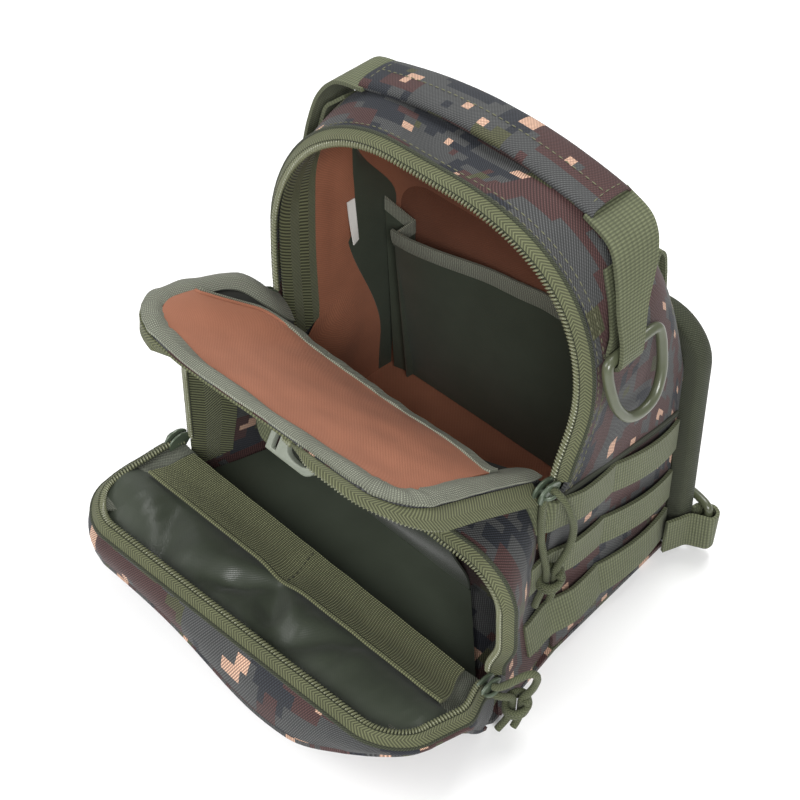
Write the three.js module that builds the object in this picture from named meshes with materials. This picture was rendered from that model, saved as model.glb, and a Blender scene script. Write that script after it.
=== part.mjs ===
// A chest bag with two zipped compartments, standing open: the main flap is folded forwards
// and the front pocket's lid hangs open like a tray.
// Millimetres. X runs to the right seen from the front, Y to the back, Z up.
// The origin lies on the underside of the base, below the main zip.
import * as THREE from 'three';
import { mergeVertices } from 'three/addons/utils/BufferGeometryUtils.js';

// Cloth and webbing
const GAP = 0.3;
const SHELL = 2.0;
const LINING = 1.2;
const BINDING = 2.2;
const LINING_INSET = -3.6;
const WEB = { wide: 25, thick: 1.6 };
const BASE = { thick: 2.6, back: 78.4, waist: 81, rear: 89, front: 97, nose: -53, corner: 12 };
const FLOOR = BASE.thick + GAP;

// Arches of the main compartment: at the zip in front and at the back panel
const BODY_FRONT = { y: 1.3, foot: 80, shoulder: 84, top: 198, radius: 44, crown: 5 };
const BODY_BACK = { y: 78, foot: 87, shoulder: 83, top: 127, radius: 24, crown: 0 };
const BODY_LEAN = 7;
const BODY_PUFF = { side: 0.5, top: 8 };
const ZIP_START = 98;

// Arches of the front pocket: at the seam on the front wall and at its zip
const SEAM_ARCH = { y: -2.4, foot: 78, shoulder: 77, top: 96, radius: 18, crown: 0 };
const POCKET_ARCH = { y: -46, foot: 98, shoulder: 94, top: 95, radius: 22, crown: 0 };
const POCKET_ZIP_START = 31;
const POCKET_ZIP_INSET = -2.6;
const WALL = { half: 79, top: 97.3, bulge: 14, bow: 20 };

// The two leaves that hang open: outline in their own plane, from the hinge to the tip
// Twist turns the leaf's two sides apart, and bow carries the middle of its hinge forwards
const FLAP = {
  y: 0, z: 98.6, angle: 28, twist: -5.5, bow: WALL.bow,
  foot: 75, shoulder: 72, bottom: 0.6, top: 88, radius: 22, crown: 0,
};
const FLAP_TAPE = 7.5;
const LID = {
  y: -46.6, z: 31, angle: 15.7, twist: 2.5, bow: 0,
  foot: 98, shoulder: 94, bottom: 0.8, top: 64, radius: 22, crown: 0,
};
const LID_DEEP = { hinge: 25, left: 21, right: 16, over: 30 };
const LID_DIP = { deep: 10, from: 9.5, to: 18 };

// Back panel
const BACK = { y: 79, thick: 8, foot: 95, shoulder: 89, bottom: 0.8, top: 134, radius: 22, low: 14, bound: 8 };

// Hard pieces
const RING = { wide: 31, tall: 30, stock: 2.2, hang: 16, eye: 3.8 };
// The handle's web hangs further back on the left
const RINGS = { right: { x: 88.8, y: 29, z: 159, sewn: 0.3 }, left: { x: 88.8, y: 43, z: 149.6, sewn: 0.48 } };
const GRIP = { half: 60, wide: 22, y: 43.5, z: 203, drop: 5.8 };
const CORNER = { wide: 25.4, tall: 24, stock: 2.0, x: 103, y: 88, z: 17.2, swing: 15, eye: 4.3, web: 20 };
const SLIDER = { long: 13, wide: 9, thick: 4.4 };
const HOOK = { long: 30, wide: 13, thick: 4, tilt: 58 };
const CORD = 3.2;
const KNOT = { bore: 3.7, outer: 5.8, tall: 8 };

const lerp = THREE.MathUtils.lerp;
const smooth = THREE.MathUtils.smoothstep;
const radians = THREE.MathUtils.degToRad;
const at3 = (x, y, z) => new THREE.Vector3(x, y, z);

// Finishes

const finish = (color, roughness, metalness = 0) => () =>
  new THREE.MeshStandardMaterial({ color, roughness, metalness });
const printedCloth = finish(0x5b5c5a, 0.85);
const oliveWebbing = finish(0x626848, 0.85);
const oliveTape = finish(0x70764f, 0.8);
const terracotta = finish(0xa5654c, 0.75);
const coatedGreen = finish(0x33372d, 0.5);
const greyBinding = finish(0x747a6c, 0.85);
const olivePlastic = finish(0x5d6148, 0.4);
const palePlastic = finish(0x8f968b, 0.45);
const paintedMetal = finish(0x55604a, 0.4, 0.6);
const oliveCord = finish(0x59603f, 0.85);
const whiteLabel = finish(0xdad9d3, 0.7);
const padding = finish(0x4b4f3c, 0.9);

const bag = new THREE.Group();

function add(name, material, geometry) {
  const mesh = new THREE.Mesh(geometry, material());
  mesh.name = name;
  bag.add(mesh);
}

// Makers of closed solids

function solid(positions, index) {
  const geometry = new THREE.BufferGeometry();
  geometry.setAttribute('position', new THREE.Float32BufferAttribute(positions, 3));
  geometry.setIndex(volume(positions, index) < 0 ? turned(index) : index);
  geometry.computeVertexNormals();
  return geometry;
}

function turned(index) {
  const out = [];
  for (let i = 0; i < index.length; i += 3) out.push(index[i], index[i + 2], index[i + 1]);
  return out;
}

function volume(positions, index) {
  const corner = (i) => new THREE.Vector3().fromArray(positions, 3 * i);
  let sum = 0;
  for (let i = 0; i < index.length; i += 3) {
    const [a, b, c] = [corner(index[i]), corner(index[i + 1]), corner(index[i + 2])];
    sum += a.dot(b.cross(c));
  }
  return sum / 6;
}

function welded(geometry) {
  geometry.deleteAttribute('normal');
  geometry.deleteAttribute('uv');
  return mergeVertices(geometry, 1e-3);
}

function mirrored(geometry) {
  const positions = Array.from(geometry.attributes.position.array);
  for (let i = 0; i < positions.length; i += 3) positions[i] = -positions[i];
  return solid(positions, Array.from(geometry.index.array));
}

// A sheet of cloth as a closed solid: at(u, v) gives its middle surface, and thick may vary over it
function sheet(at, along, across, thick) {
  const step = 1e-3;
  const thickness = typeof thick === 'function' ? thick : () => thick;
  const faces = [[], []];
  for (let i = 0; i <= along; i++) {
    for (let j = 0; j <= across; j++) {
      const [u, v] = [i / along, j / across];
      const du = at(Math.min(u + step, 1), v).sub(at(Math.max(u - step, 0), v));
      const dv = at(u, Math.min(v + step, 1)).sub(at(u, Math.max(v - step, 0)));
      const normal = du.cross(dv).normalize();
      const half = thickness(u, v) / 2;
      faces[0].push(at(u, v).addScaledVector(normal, half));
      faces[1].push(at(u, v).addScaledVector(normal, -half));
    }
  }
  const row = across + 1;
  const count = (along + 1) * row;
  const index = [];
  const quad = (a, b, c, d) => index.push(a, b, c, a, c, d);
  for (let i = 0; i < along; i++) {
    for (let j = 0; j < across; j++) {
      const a = i * row + j;
      quad(a, a + row, a + row + 1, a + 1);
      quad(count + a, count + a + 1, count + a + row + 1, count + a + row);
    }
    const last = i * row + across;
    quad(i * row, count + i * row, count + (i + 1) * row, (i + 1) * row);
    quad(last, last + row, count + last + row, count + last);
  }
  for (let j = 0; j < across; j++) {
    const far = along * row + j;
    quad(j, j + 1, count + j + 1, count + j);
    quad(far, count + far, count + far + 1, far + 1);
  }
  return solid([...faces[0], ...faces[1]].flatMap((p) => p.toArray()), index);
}

// A strap of webbing along a route, flat across the direction wide(u)
function strap(points, wide, along, web = WEB) {
  const route = new THREE.CatmullRomCurve3(points, false, 'centripetal');
  const at = (u, v) => route.getPointAt(u).addScaledVector(wide(u), (v - 0.5) * web.wide);
  return sheet(at, along, 1, web.thick);
}

// A round cord along a route
function cord(points) {
  const section = new THREE.Shape().absarc(0, 0, CORD / 2, 0, 2 * Math.PI);
  const route = new THREE.CatmullRomCurve3(points, false, 'centripetal');
  const options = { steps: 10, curveSegments: 4, bevelEnabled: false, extrudePath: route };
  return welded(new THREE.ExtrudeGeometry(section, options));
}

// An arch from one foot over the top to the other: u runs from 0 to 1, out moves it outwards
const ARCH = { side: 0.17, corner: 0.41 };

const bottomOf = (dims) => dims.bottom ?? FLOOR;

function inset(dims, by) {
  const { foot, shoulder, top, radius } = dims;
  return { ...dims, foot: foot - by, shoulder: shoulder - by, top: top - by, radius: radius - by };
}

function archPoint(dims, u, out = 0) {
  if (u > 0.5) {
    const twin = archPoint(dims, 1 - u, out);
    return twin.set(-twin.x, twin.y);
  }
  const { foot, shoulder, top, radius } = inset(dims, -out);
  const spring = top - radius;
  if (u < ARCH.side) {
    const t = u / ARCH.side;
    return new THREE.Vector2(-lerp(foot, shoulder, t), lerp(bottomOf(dims), spring, t));
  }
  if (u < ARCH.corner) {
    const turn = ((u - ARCH.side) / (ARCH.corner - ARCH.side)) * (Math.PI / 2);
    return new THREE.Vector2(-(shoulder - radius) - radius * Math.cos(turn), spring + radius * Math.sin(turn));
  }
  const t = (u - ARCH.corner) / (1 - 2 * ARCH.corner);
  const rise = dims.crown * Math.sin(Math.PI * t) ** 2;
  return new THREE.Vector2(lerp(-(shoulder - radius), shoulder - radius, t), top + rise);
}

// The stretch of an arch above a height, as the u of its first foot
function archStart(dims, height) {
  const bottom = bottomOf(dims);
  return (ARCH.side * (height - bottom)) / (dims.top - dims.radius - bottom);
}

// Half the width of an arch's outline at a height
function archHalf(dims, height, out = 0) {
  const { foot, shoulder, top, radius } = inset(dims, -out);
  const bottom = bottomOf(dims);
  const spring = top - radius;
  if (height <= spring) return lerp(foot, shoulder, (height - bottom) / (spring - bottom));
  return shoulder - radius + Math.sqrt(Math.max(radius ** 2 - (height - spring) ** 2, 0));
}

function between(front, back, v) {
  const dims = {};
  for (const key of ['y', 'foot', 'shoulder', 'top', 'radius', 'crown']) {
    dims[key] = lerp(front[key], back[key], v);
  }
  return dims;
}

// Main compartment

function bodySection(v) {
  const dims = between(BODY_FRONT, BODY_BACK, v);
  const puff = Math.sin(Math.PI * THREE.MathUtils.clamp(v, 0, 1));
  dims.foot += BODY_PUFF.side * puff;
  dims.shoulder += BODY_PUFF.side * puff;
  dims.top += BODY_PUFF.top * puff;
  return dims;
}

function bodyPoint(u, v, out = 0) {
  const dims = bodySection(v);
  const p = archPoint(dims, u, out);
  const lean = BODY_LEAN * smooth(p.y, ZIP_START, BODY_FRONT.top) * (1 - v);
  return at3(p.x, dims.y + lean, p.y);
}

function bodyHalf(y, z, out = 0) {
  const v = (y - BODY_FRONT.y) / (BODY_BACK.y - BODY_FRONT.y);
  return archHalf(bodySection(v), z, out);
}

function baseShape() {
  const outline = new THREE.Shape();
  const { back, rear, waist, front, nose, corner } = BASE;
  outline.moveTo(-rear, back);
  outline.lineTo(-waist, 0);
  outline.lineTo(-front, POCKET_ARCH.y);
  outline.quadraticCurveTo(-front, nose, -front + corner, nose);
  outline.lineTo(front - corner, nose);
  outline.quadraticCurveTo(front, nose, front, POCKET_ARCH.y);
  outline.lineTo(waist, 0);
  outline.lineTo(rear, back);
  return outline;
}

function makeShell() {
  add('main_gusset', printedCloth, sheet((u, v) => bodyPoint(u, v), 26, 4, SHELL));
  const lining = (u, v) => bodyPoint(u, lerp(0.27, 0.97, v), LINING_INSET);
  add('side_lining', terracotta, sheet(lining, 26, 2, LINING));
  const options = { depth: BASE.thick, bevelEnabled: false, curveSegments: 6 };
  add('base_panel', printedCloth, welded(new THREE.ExtrudeGeometry(baseShape(), options)));
  const wall = (u, v) => {
    const z = lerp(FLOOR, WALL.top, v);
    return at3(lerp(-WALL.half, WALL.half, u), wallY(lerp(-WALL.half, WALL.half, u), z), z);
  };
  add('front_wall', printedCloth, sheet(wall, 10, 5, SHELL));
}

// The front wall bulges forwards between its seams, and its top edge bows forwards
function wallY(x, z) {
  const up = THREE.MathUtils.clamp((z - FLOOR) / (WALL.top - FLOOR), 0, 1);
  const forward = WALL.bulge * Math.sin(Math.PI * up) ** 2 + WALL.bow * up ** 2;
  return -forward * (1 - (x / WALL.half) ** 2);
}

// Back panel with its bound edge

function backOutline(inset) {
  const { foot, shoulder, bottom, top, radius, low } = BACK;
  const [f, s, b, t] = [foot - inset, shoulder - inset, bottom + inset, top - inset];
  const [r, l] = [radius - inset, low - inset];
  const outline = new THREE.Shape();
  outline.moveTo(-f + l, b);
  outline.lineTo(f - l, b);
  outline.quadraticCurveTo(f, b, f, b + l);
  outline.lineTo(s, t - r);
  outline.absarc(s - r, t - r, r, 0, Math.PI / 2);
  outline.lineTo(-s + r, t);
  outline.absarc(-s + r, t - r, r, Math.PI / 2, Math.PI);
  outline.lineTo(-f, b + l);
  outline.quadraticCurveTo(-f, b, -f + l, b);
  return outline;
}

function upright(shape, depth, front) {
  const geometry = new THREE.ExtrudeGeometry(shape, { depth, bevelEnabled: false, curveSegments: 6 });
  return welded(geometry.rotateX(Math.PI / 2).translate(0, front + depth, 0));
}

const TOP_LOOP = { x: 51, lean: 0.12 };

function makeBack() {
  const ring = backOutline(0);
  ring.holes.push(backOutline(BACK.bound));
  add('back_binding', oliveTape, upright(ring, BACK.thick + 0.6, BACK.y));
  add('back_panel', padding, upright(backOutline(BACK.bound + GAP), BACK.thick, BACK.y));
  const loop = [[80.4, 0.8], [80.4, 12], [81.3, 19], [83.6, 21.6], [85.9, 19], [86.8, 12], [86.8, 0.8]];
  const points = loop.map(([y, rise]) => at3(TOP_LOOP.x - TOP_LOOP.lean * rise, y, BACK.top + rise));
  const right = strap(points, () => at3(1, 0, 0), 10);
  add('top_loop_right', oliveWebbing, right);
  add('top_loop_left', oliveWebbing, mirrored(right));
}

// Pieces inside the main compartment

const SLIP = { left: -67, right: 74.5, low: 6, top: 99, back: 76.25, gape: 14 };

function slipY(x, z) {
  return SLIP.back - SLIP.gape * smooth(-x, -15, -SLIP.left) * Math.max(z / SLIP.top, 0.1);
}

function makeInside() {
  const dims = { foot: 84, shoulder: 78.5, top: 121, radius: 20, bottom: FLOOR + GAP };
  const back = (u, v) => {
    const z = lerp(dims.bottom, dims.top, v);
    return at3(lerp(-1, 1, u) * archHalf(dims, z), 77.8, z);
  };
  add('back_lining', terracotta, sheet(back, 2, 9, LINING));

  const slip = (low, top, forward) => (u, v) => {
    const [x, z] = [lerp(SLIP.left, SLIP.right, u), lerp(low, top, v)];
    return at3(x, slipY(x, z) - forward, z);
  };
  add('slip_pocket', coatedGreen, sheet(slip(SLIP.low, SLIP.top, 0), 8, 4, LINING));
  const bound = slip(SLIP.top + GAP, SLIP.top + 8, (BINDING - LINING) / 2);
  add('slip_binding', greyBinding, sheet(bound, 8, 1, BINDING));

  const folds = [[-67.5, 62.8], [-77, 65.4], [-70, 68.6], [-77.4, 72.4]];
  const pleat = (u, v) => {
    const place = u * (folds.length - 1);
    const i = Math.min(Math.floor(place), folds.length - 2);
    const z = lerp(SLIP.low, SLIP.top + 2, v);
    const open = lerp(0.35, 1, v);
    const y = lerp(folds[i][1], folds[i + 1][1], place - i);
    return at3(lerp(folds[i][0], folds[i + 1][0], place - i), lerp(75.6, y, open), z);
  };
  add('slip_pleat', coatedGreen, sheet(pleat, 9, 3, LINING));

  const sleeve = (u, v) => {
    const [y, z] = [lerp(38, 60, u), lerp(FLOOR + 2, 120, v)];
    return at3(-bodyHalf(y, z, -5.2), y, z);
  };
  add('side_sleeve', coatedGreen, sheet(sleeve, 2, 4, LINING));
  const label = (u, v) => at3(-bodyHalf(46, 118, -6.8) + 2 * v, lerp(44, 55, u), lerp(126, 102, v));
  add('label', whiteLabel, sheet(label, 2, 3, 1));
}

// The leaves that hang open are laid out in their own plane: x across, l from the hinge, n out of its inside

function leaf(place, x, l, n) {
  const turn = radians(place.angle + (place.twist * x) / place.foot);
  const [c, s] = [Math.cos(turn), Math.sin(turn)];
  const forward = place.bow * Math.max(1 - (x / WALL.half) ** 2, 0) * (1 - l / place.top);
  return at3(x, place.y - forward - l * c + n * s, place.z + l * s + n * c);
}

const leafPanel = (place, dims, start, end, rise) => (u, v) => {
  const l = lerp(start, end, v);
  const x = lerp(-1, 1, u) * archHalf(dims, l);
  return leaf(place, x, l, rise(x, l));
};

// A band along the leaf's arch, from one outward offset to another
const leafBand = (place, u0, out0, out1, rise) => (u, v) => {
  const p = archPoint(place, lerp(u0, 1 - u0, u), lerp(out0, out1, v));
  return leaf(place, p.x, p.y, rise);
};

const FLAP_INNER = SHELL / 2 + GAP + LINING / 2 + 0.2;
const flapGape = (x, l) => FLAP_INNER + 6 * Math.exp(-((l / 15) ** 2)) * (1 - 0.5 * smooth(x, -40, 60));

function makeFlap() {
  add('main_flap', printedCloth, sheet(leafPanel(FLAP, FLAP, 0.6, FLAP.top, () => 0), 4, 10, SHELL));
  add('flap_binding', greyBinding, sheet(leafBand(FLAP, 0.06, -9, -0.2, FLAP_INNER), 22, 1, LINING));
  const inner = inset(FLAP, 9 + GAP);
  add('flap_lining', terracotta, sheet(leafPanel(FLAP, inner, 9, inner.top, flapGape), 6, 8, LINING));
  add('flap_lining_binding', greyBinding, sheet(leafPanel(FLAP, inner, 3, 9 - GAP, flapGape), 6, 1, BINDING));
  const teeth = (u, v) => (v > 0.6 ? 3.4 : LINING);
  add('main_zip_flap', oliveTape, sheet(leafBand(FLAP, 0.032, GAP, FLAP_TAPE, 0), 24, 3, teeth));
  const start = archStart(BODY_FRONT, ZIP_START + 10);
  const body = (u, v) => bodyPoint(lerp(start, 1 - start, u), lerp(-0.035, 0.24, v), LINING_INSET);
  add('main_zip_body', oliveTape, sheet(body, 24, 3, (u, v) => (v < 0.2 ? 2.4 : LINING)));
}

// Front pocket

function pocketPoint(u, v, out = 0) {
  const dims = between(SEAM_ARCH, POCKET_ARCH, v);
  const p = archPoint(dims, u, out);
  return at3(p.x, dims.y + (1 - v) * wallY(p.x, p.y), p.y);
}

const sleeveY = (x, z) => wallY(x, z) - 4 - 5 * (z / 80);

function makePocket() {
  add('pocket_gusset', printedCloth, sheet((u, v) => pocketPoint(u, v), 24, 2, SHELL));
  const start = archStart(POCKET_ARCH, POCKET_ZIP_START + 8);
  const zip = (u, v) => pocketPoint(lerp(start, 1 - start, u), lerp(1.03, 0.78, v), POCKET_ZIP_INSET);
  add('pocket_zip_body', oliveTape, sheet(zip, 22, 3, (u, v) => (v < 0.2 ? 2.4 : LINING)));

  const sleeve = (low, top) => (u, v) => {
    const [x, z] = [lerp(-68, 68, u), lerp(low, top, v)];
    return at3(x, sleeveY(x, z), z);
  };
  add('pocket_sleeve', coatedGreen, sheet(sleeve(FLOOR + 1, 80), 8, 4, LINING));
  add('pocket_sleeve_binding', greyBinding, sheet(sleeve(80 + GAP, 87), 8, 1, BINDING));

  const hookAt = at3(-34, -33, 56);
  add('key_hook', palePlastic, keyHook(hookAt));
  const keyRoute = [
    at3(-49.4, -33, 56), at3(-53.4, -32.6, 56.6), at3(-60, -29, 59.5), at3(-69, -19.5, 65), at3(-73.4, -9.5, 73), at3(-74.4, -6, 80),
  ];
  const flat = at3(0, Math.cos(radians(HOOK.tilt)), Math.sin(radians(HOOK.tilt)));
  const keyWide = (u) => flat.clone().lerp(at3(0.45, 0.25, 0.86), smooth(u, 0, 0.3)).normalize();
  add('key_strap', oliveWebbing, strap(keyRoute, keyWide, 10, { wide: 10, thick: 1.4 }));
}

function keyHook(place) {
  const { long, wide, thick } = HOOK;
  const round = wide / 2;
  const plate = new THREE.Shape();
  plate.moveTo(-long / 2, -round);
  plate.lineTo(long / 2 - round, -round);
  plate.absarc(long / 2 - round, 0, round, -Math.PI / 2, Math.PI / 2);
  plate.lineTo(-long / 2, round);
  const slot = new THREE.Path();
  slot.moveTo(-long / 2 + 3, -round + 2);
  slot.lineTo(-long / 2 + 3, round - 2);
  slot.lineTo(-long / 2 + 6, round - 2);
  slot.lineTo(-long / 2 + 6, -round + 2);
  const eye = new THREE.Path();
  eye.absellipse(4, 0, 7.5, round - 3, 0, 2 * Math.PI, true);
  plate.holes.push(slot, eye);
  const geometry = new THREE.ExtrudeGeometry(plate, { depth: thick, bevelEnabled: false, curveSegments: 8 });
  geometry.translate(0, 0, -thick / 2).rotateX(radians(HOOK.tilt));
  return welded(geometry.translate(place.x, place.y, place.z));
}

function makeLid() {
  // The tray is deepest at the hinge, and its rim dips there beside the zip's sliders
  const deep = (x, l) => {
    const tip = lerp(LID_DEEP.left, LID_DEEP.right, smooth(x, -LID.foot / 2, LID.foot));
    return lerp(LID_DEEP.hinge, tip, smooth(l, 0, LID_DEEP.over));
  };
  const wall = (out, rim, above) => (u, v) => {
    const p = archPoint(LID, u, out);
    const dip = LID_DIP.deep * (1 - smooth(p.y, LID_DIP.from, LID_DIP.to));
    return leaf(LID, p.x, p.y, lerp(Math.min(rim, -dip), above - deep(p.x, p.y), v));
  };
  add('lid_gusset', printedCloth, sheet(wall(0, -1, 0), 24, 2, SHELL));
  add('lid_lining', greyBinding, sheet(wall(LINING_INSET, -9, -0.3), 24, 1, 1));
  const start = archStart(LID, 15);
  const zip = (u, v) => {
    const p = archPoint(LID, lerp(start, 1 - start, u), LINING_INSET);
    return leaf(LID, p.x, p.y, lerp(1.6, -8.6, v));
  };
  add('pocket_zip_lid', oliveTape, sheet(zip, 22, 3, (u, v) => (v < 0.2 ? 2.4 : LINING)));
  const face = inset(LID, -1);
  const low = (x, l) => -deep(x, l) - 3 * GAP - SHELL / 2;
  add('lid_face', printedCloth, sheet(leafPanel(LID, face, -2.4, face.top, low), 8, 10, SHELL));

  const inner = inset(LID, 4.6);
  const gathers = (x, l) => {
    const folds = 1.2 * Math.sin(x / 6) * smooth(l, 30, 36) * (1 - smooth(l, 50, 58));
    return folds - 7 - 5 * smooth(l, 28, 58);
  };
  add('lid_pouch', coatedGreen, sheet(leafPanel(LID, inner, 31, inner.top, gathers), 24, 3, LINING));
  const band = { ...inner, foot: 84, shoulder: 84 };
  const slope = (x, l) => -4 - 3 * (l / 31);
  add('lid_elastic', oliveWebbing, sheet(leafPanel(LID, band, 9, 31 - GAP, slope), 6, 1, WEB.thick));
}

// Handle, rings and webbing

// A D-shaped ring: a straight bar along +X at the origin with the bow hanging to -Y
function ringGeometry({ wide, tall, stock }) {
  const half = wide / 2;
  const round = stock * 1.4;
  const outline = [
    [-half + round, 0], [0, 0], [half - round, 0], [half - round * 0.3, -round * 0.3], [half, -round],
    [half, -tall * 0.35], [half * 0.86, -tall * 0.68], [half * 0.5, -tall * 0.93], [0, -tall],
    [-half * 0.5, -tall * 0.93], [-half * 0.86, -tall * 0.68], [-half, -tall * 0.35],
    [-half, -round], [-half + round * 0.3, -round * 0.3],
  ];
  const route = new THREE.CatmullRomCurve3(outline.map(([x, y]) => at3(x, y, 0)), true, 'centripetal');
  return welded(new THREE.TubeGeometry(route, 24, stock, 6, true));
}

function makeHandle() {
  const grip = (u, v) => {
    const x = lerp(-GRIP.half, GRIP.half, u);
    return at3(x, GRIP.y + GRIP.wide * (v - 0.5), GRIP.z - GRIP.drop * (x / GRIP.half) ** 2);
  };
  add('handle_grip', printedCloth, sheet(grip, 8, 4, (u, v) => 7 - 3.4 * (2 * v - 1) ** 2));

  for (const [side, place] of Object.entries(RINGS)) {
    const { x, y, z, sewn } = place;
    const seat = SHELL / 2 + WEB.thick / 2 + 0.5;
    const stitched = [[0.69, 0], [0.72, 0.3], [0.745, 1.2]].map(([u, off]) => bodyPoint(u, sewn, seat + off));
    const fold = [180, 225, 270, 315, 360].map((deg) => {
      const turn = radians(deg);
      return at3(x + RING.eye * Math.cos(turn), y, z + RING.eye * Math.sin(turn));
    });
    const end = GRIP.z - GRIP.drop;
    const rise = [[91.8, 0.07, 0.18], [88, 0.2, 0.42], [82, 0.55, 0.68], [74, 0.86, 0.88], [60.6, 1, 1]];
    const up = rise.map(([out, back, high]) => at3(out, lerp(y, GRIP.y, back), lerp(z, end, high)));
    const slope = bodyPoint(0.7, sewn + 0.1).sub(bodyPoint(0.7, sewn - 0.1)).normalize();
    const wide = (u) => slope.clone().lerp(at3(0, 1, 0), smooth(u, 0.12, 0.26)).normalize();
    const web = strap([...stitched, ...fold, ...up], wide, 26);
    const ring = ringGeometry(RING);
    ring.rotateX(Math.PI / 2).rotateZ(Math.PI / 2).rotateY(radians(-RING.hang)).translate(x, y, z);
    add(`handle_web_${side}`, oliveWebbing, side === 'left' ? mirrored(web) : web);
    add(`ring_${side}`, olivePlastic, side === 'left' ? mirrored(ring) : ring);
  }
}

const ROWS = [77, 46.6, 21];

function makeSideWebbing() {
  ROWS.forEach((height, i) => {
    const row = (u, v) => {
      const y = lerp(2.5, 75, u);
      const z = height + WEB.wide * (v - 0.5);
      const loose = 2.4 * Math.abs(Math.sin(2 * Math.PI * u));
      return at3(bodyHalf(y, z, SHELL / 2 + GAP + WEB.thick / 2 + 0.2) + loose, y, z);
    };
    const webbing = sheet(row, 12, 1, WEB.thick);
    add(`side_web_right_${i + 1}`, oliveWebbing, webbing);
    add(`side_web_left_${i + 1}`, oliveWebbing, mirrored(webbing));
  });

  const { x, y, z, eye } = CORNER;
  const bend = [-90, -30, 30, 90, 140].map((deg) => {
    const turn = radians(deg);
    return at3(x + eye * Math.cos(turn), y + eye * Math.sin(turn), z);
  });
  const sewn = [at3(93.8, 70, z), at3(96.2, 76, z), at3(98.4, 81, z)];
  const route = [...sewn, ...bend, at3(97.2, 88.6, z), at3(96.4, 85.4, z)];
  const loop = strap(route, () => at3(0, 0, 1), 18, { wide: CORNER.web, thick: WEB.thick });
  add('corner_loop_right', oliveWebbing, loop);
  add('corner_loop_left', oliveWebbing, mirrored(loop));

  const ring = ringGeometry(CORNER);
  ring.rotateZ(-Math.PI / 2).rotateX(Math.PI / 2).rotateZ(radians(-CORNER.swing)).translate(x, y, z);
  add('corner_ring_right', olivePlastic, ring);
  add('corner_ring_left', olivePlastic, mirrored(ring));
}

// Zip sliders and their cord pulls

function slider(place, tilt) {
  const { long, wide, thick } = SLIDER;
  const plate = new THREE.Shape();
  plate.moveTo(0, -long / 2);
  plate.quadraticCurveTo(wide * 0.62, -long / 2, wide / 2, 0);
  plate.quadraticCurveTo(wide * 0.45, long / 2, 0, long / 2);
  plate.quadraticCurveTo(-wide * 0.45, long / 2, -wide / 2, 0);
  plate.quadraticCurveTo(-wide * 0.62, -long / 2, 0, -long / 2);
  const geometry = new THREE.ExtrudeGeometry(plate, { depth: thick, bevelEnabled: false, curveSegments: 4 });
  geometry.translate(0, 0, -thick / 2).rotateX(Math.PI / 2).rotateZ(Math.PI / 2).rotateX(radians(tilt));
  return welded(geometry.translate(place.x, place.y, place.z));
}

const PULLS = {
  main: {
    knot: at3(88.9, -6.4, 53),
    inner: [[81.5, -7.4, 98], [82.7, -7.9, 97.5], [83.3, -8.6, 95.8], [83.7, -9.1, 92], [83.9, -9.4, 87],
      [84.2, -9.4, 82], [84.4, -9.3, 78.6], [84.6, -9.1, 75], [85.4, -8.9, 71],
      [86.1, -8.6, 67], [86.9, -8.2, 63], [87.5, -7.9, 59.5], [87.7, -7.7, 56],
      [87.7, -7.7, 50], [87.2, -8.6, 46], [86.4, -9.8, 41], [85.8, -10.8, 36]],
    outer: [[81, -3.8, 100.4], [83.4, -3.9, 100.9], [86.2, -3.9, 100.7], [89, -3.6, 99.2], [91.2, -3.2, 96.6],
      [92.6, -2.8, 93], [93.4, -1.8, 88.6],
      [93.7, -1.3, 84], [93.6, -1.2, 79.4], [93.2, -1.5, 75], [92.6, -2.1, 70.6],
      [91.8, -3, 66.4], [90.9, -4.1, 62.4],
      [90.2, -5, 58.6], [90, -5.2, 55], [90, -5.2, 50], [90.4, -6, 45.6], [90.2, -7.4, 40.6]],
  },
  pocket: {
    knot: at3(105.2, -42.5, 19),
    inner: [[98.6, -50.6, 28.4], [99.8, -50.4, 28.3], [101, -49.8, 28], [102, -48.7, 27.4],
      [102.8, -47.3, 26.6],
      [103.4, -45.8, 25.5], [103.8, -44.5, 24.1], [103.9, -43.8, 22.4], [103.9, -43.7, 20],
      [103.9, -43.7, 17.4],
      [103.9, -43.7, 15], [103.7, -44.3, 12.6], [103.3, -45.4, 10.2], [102.8, -46.9, 8], [102.3, -48.5, 6.2]],
    outer: [[99, -50.6, 33.2], [100.8, -50.1, 34], [102.6, -48.7, 35.4], [104.4, -46.6, 37.2], [106, -44, 38.8],
      [107.4, -41.2, 39.8], [108.6, -38.8, 39.4], [109.4, -37.2, 37.6], [109.7, -36.6, 35], [109.5, -36.9, 32],
      [109, -37.8, 29], [108.2, -39.1, 26.4], [107.2, -40.4, 24.2], [106.6, -41.2, 22], [106.5, -41.3, 18.6],
      [106.5, -41.3, 15], [106.8, -42.3, 12.2], [107, -43.9, 9.8], [106.9, -45.8, 7.8]],
  },
};

function makeZipPulls() {
  const main = at3(78.5, -7.2, 101);
  const pocket = at3(96, -51.2, 31);
  add('main_slider_right', paintedMetal, slider(main, 8));
  add('main_slider_left', paintedMetal, mirrored(slider(main, 8)));
  add('pocket_slider_right', paintedMetal, slider(pocket, 6));
  add('pocket_slider_left', paintedMetal, mirrored(slider(pocket, 6)));
  for (const [zip, pull] of Object.entries(PULLS)) {
    add(`${zip}_pull_inner`, oliveCord, cord(pull.inner.map((p) => at3(...p))));
    add(`${zip}_pull_outer`, oliveCord, cord(pull.outer.map((p) => at3(...p))));
    const { bore, outer, tall } = KNOT;
    const mid = (bore + outer) / 2;
    const profile = [
      [bore, -tall / 3], [mid, -tall / 2], [outer, -tall / 4], [outer, tall / 4],
      [mid, tall / 2], [bore, tall / 3], [bore, -tall / 3],
    ];
    const knot = new THREE.LatheGeometry(profile.map(([r, h]) => new THREE.Vector2(r, h)), 10);
    knot.rotateX(Math.PI / 2).translate(pull.knot.x, pull.knot.y, pull.knot.z);
    add(`${zip}_pull_knot`, oliveCord, welded(knot));
  }
}

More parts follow.
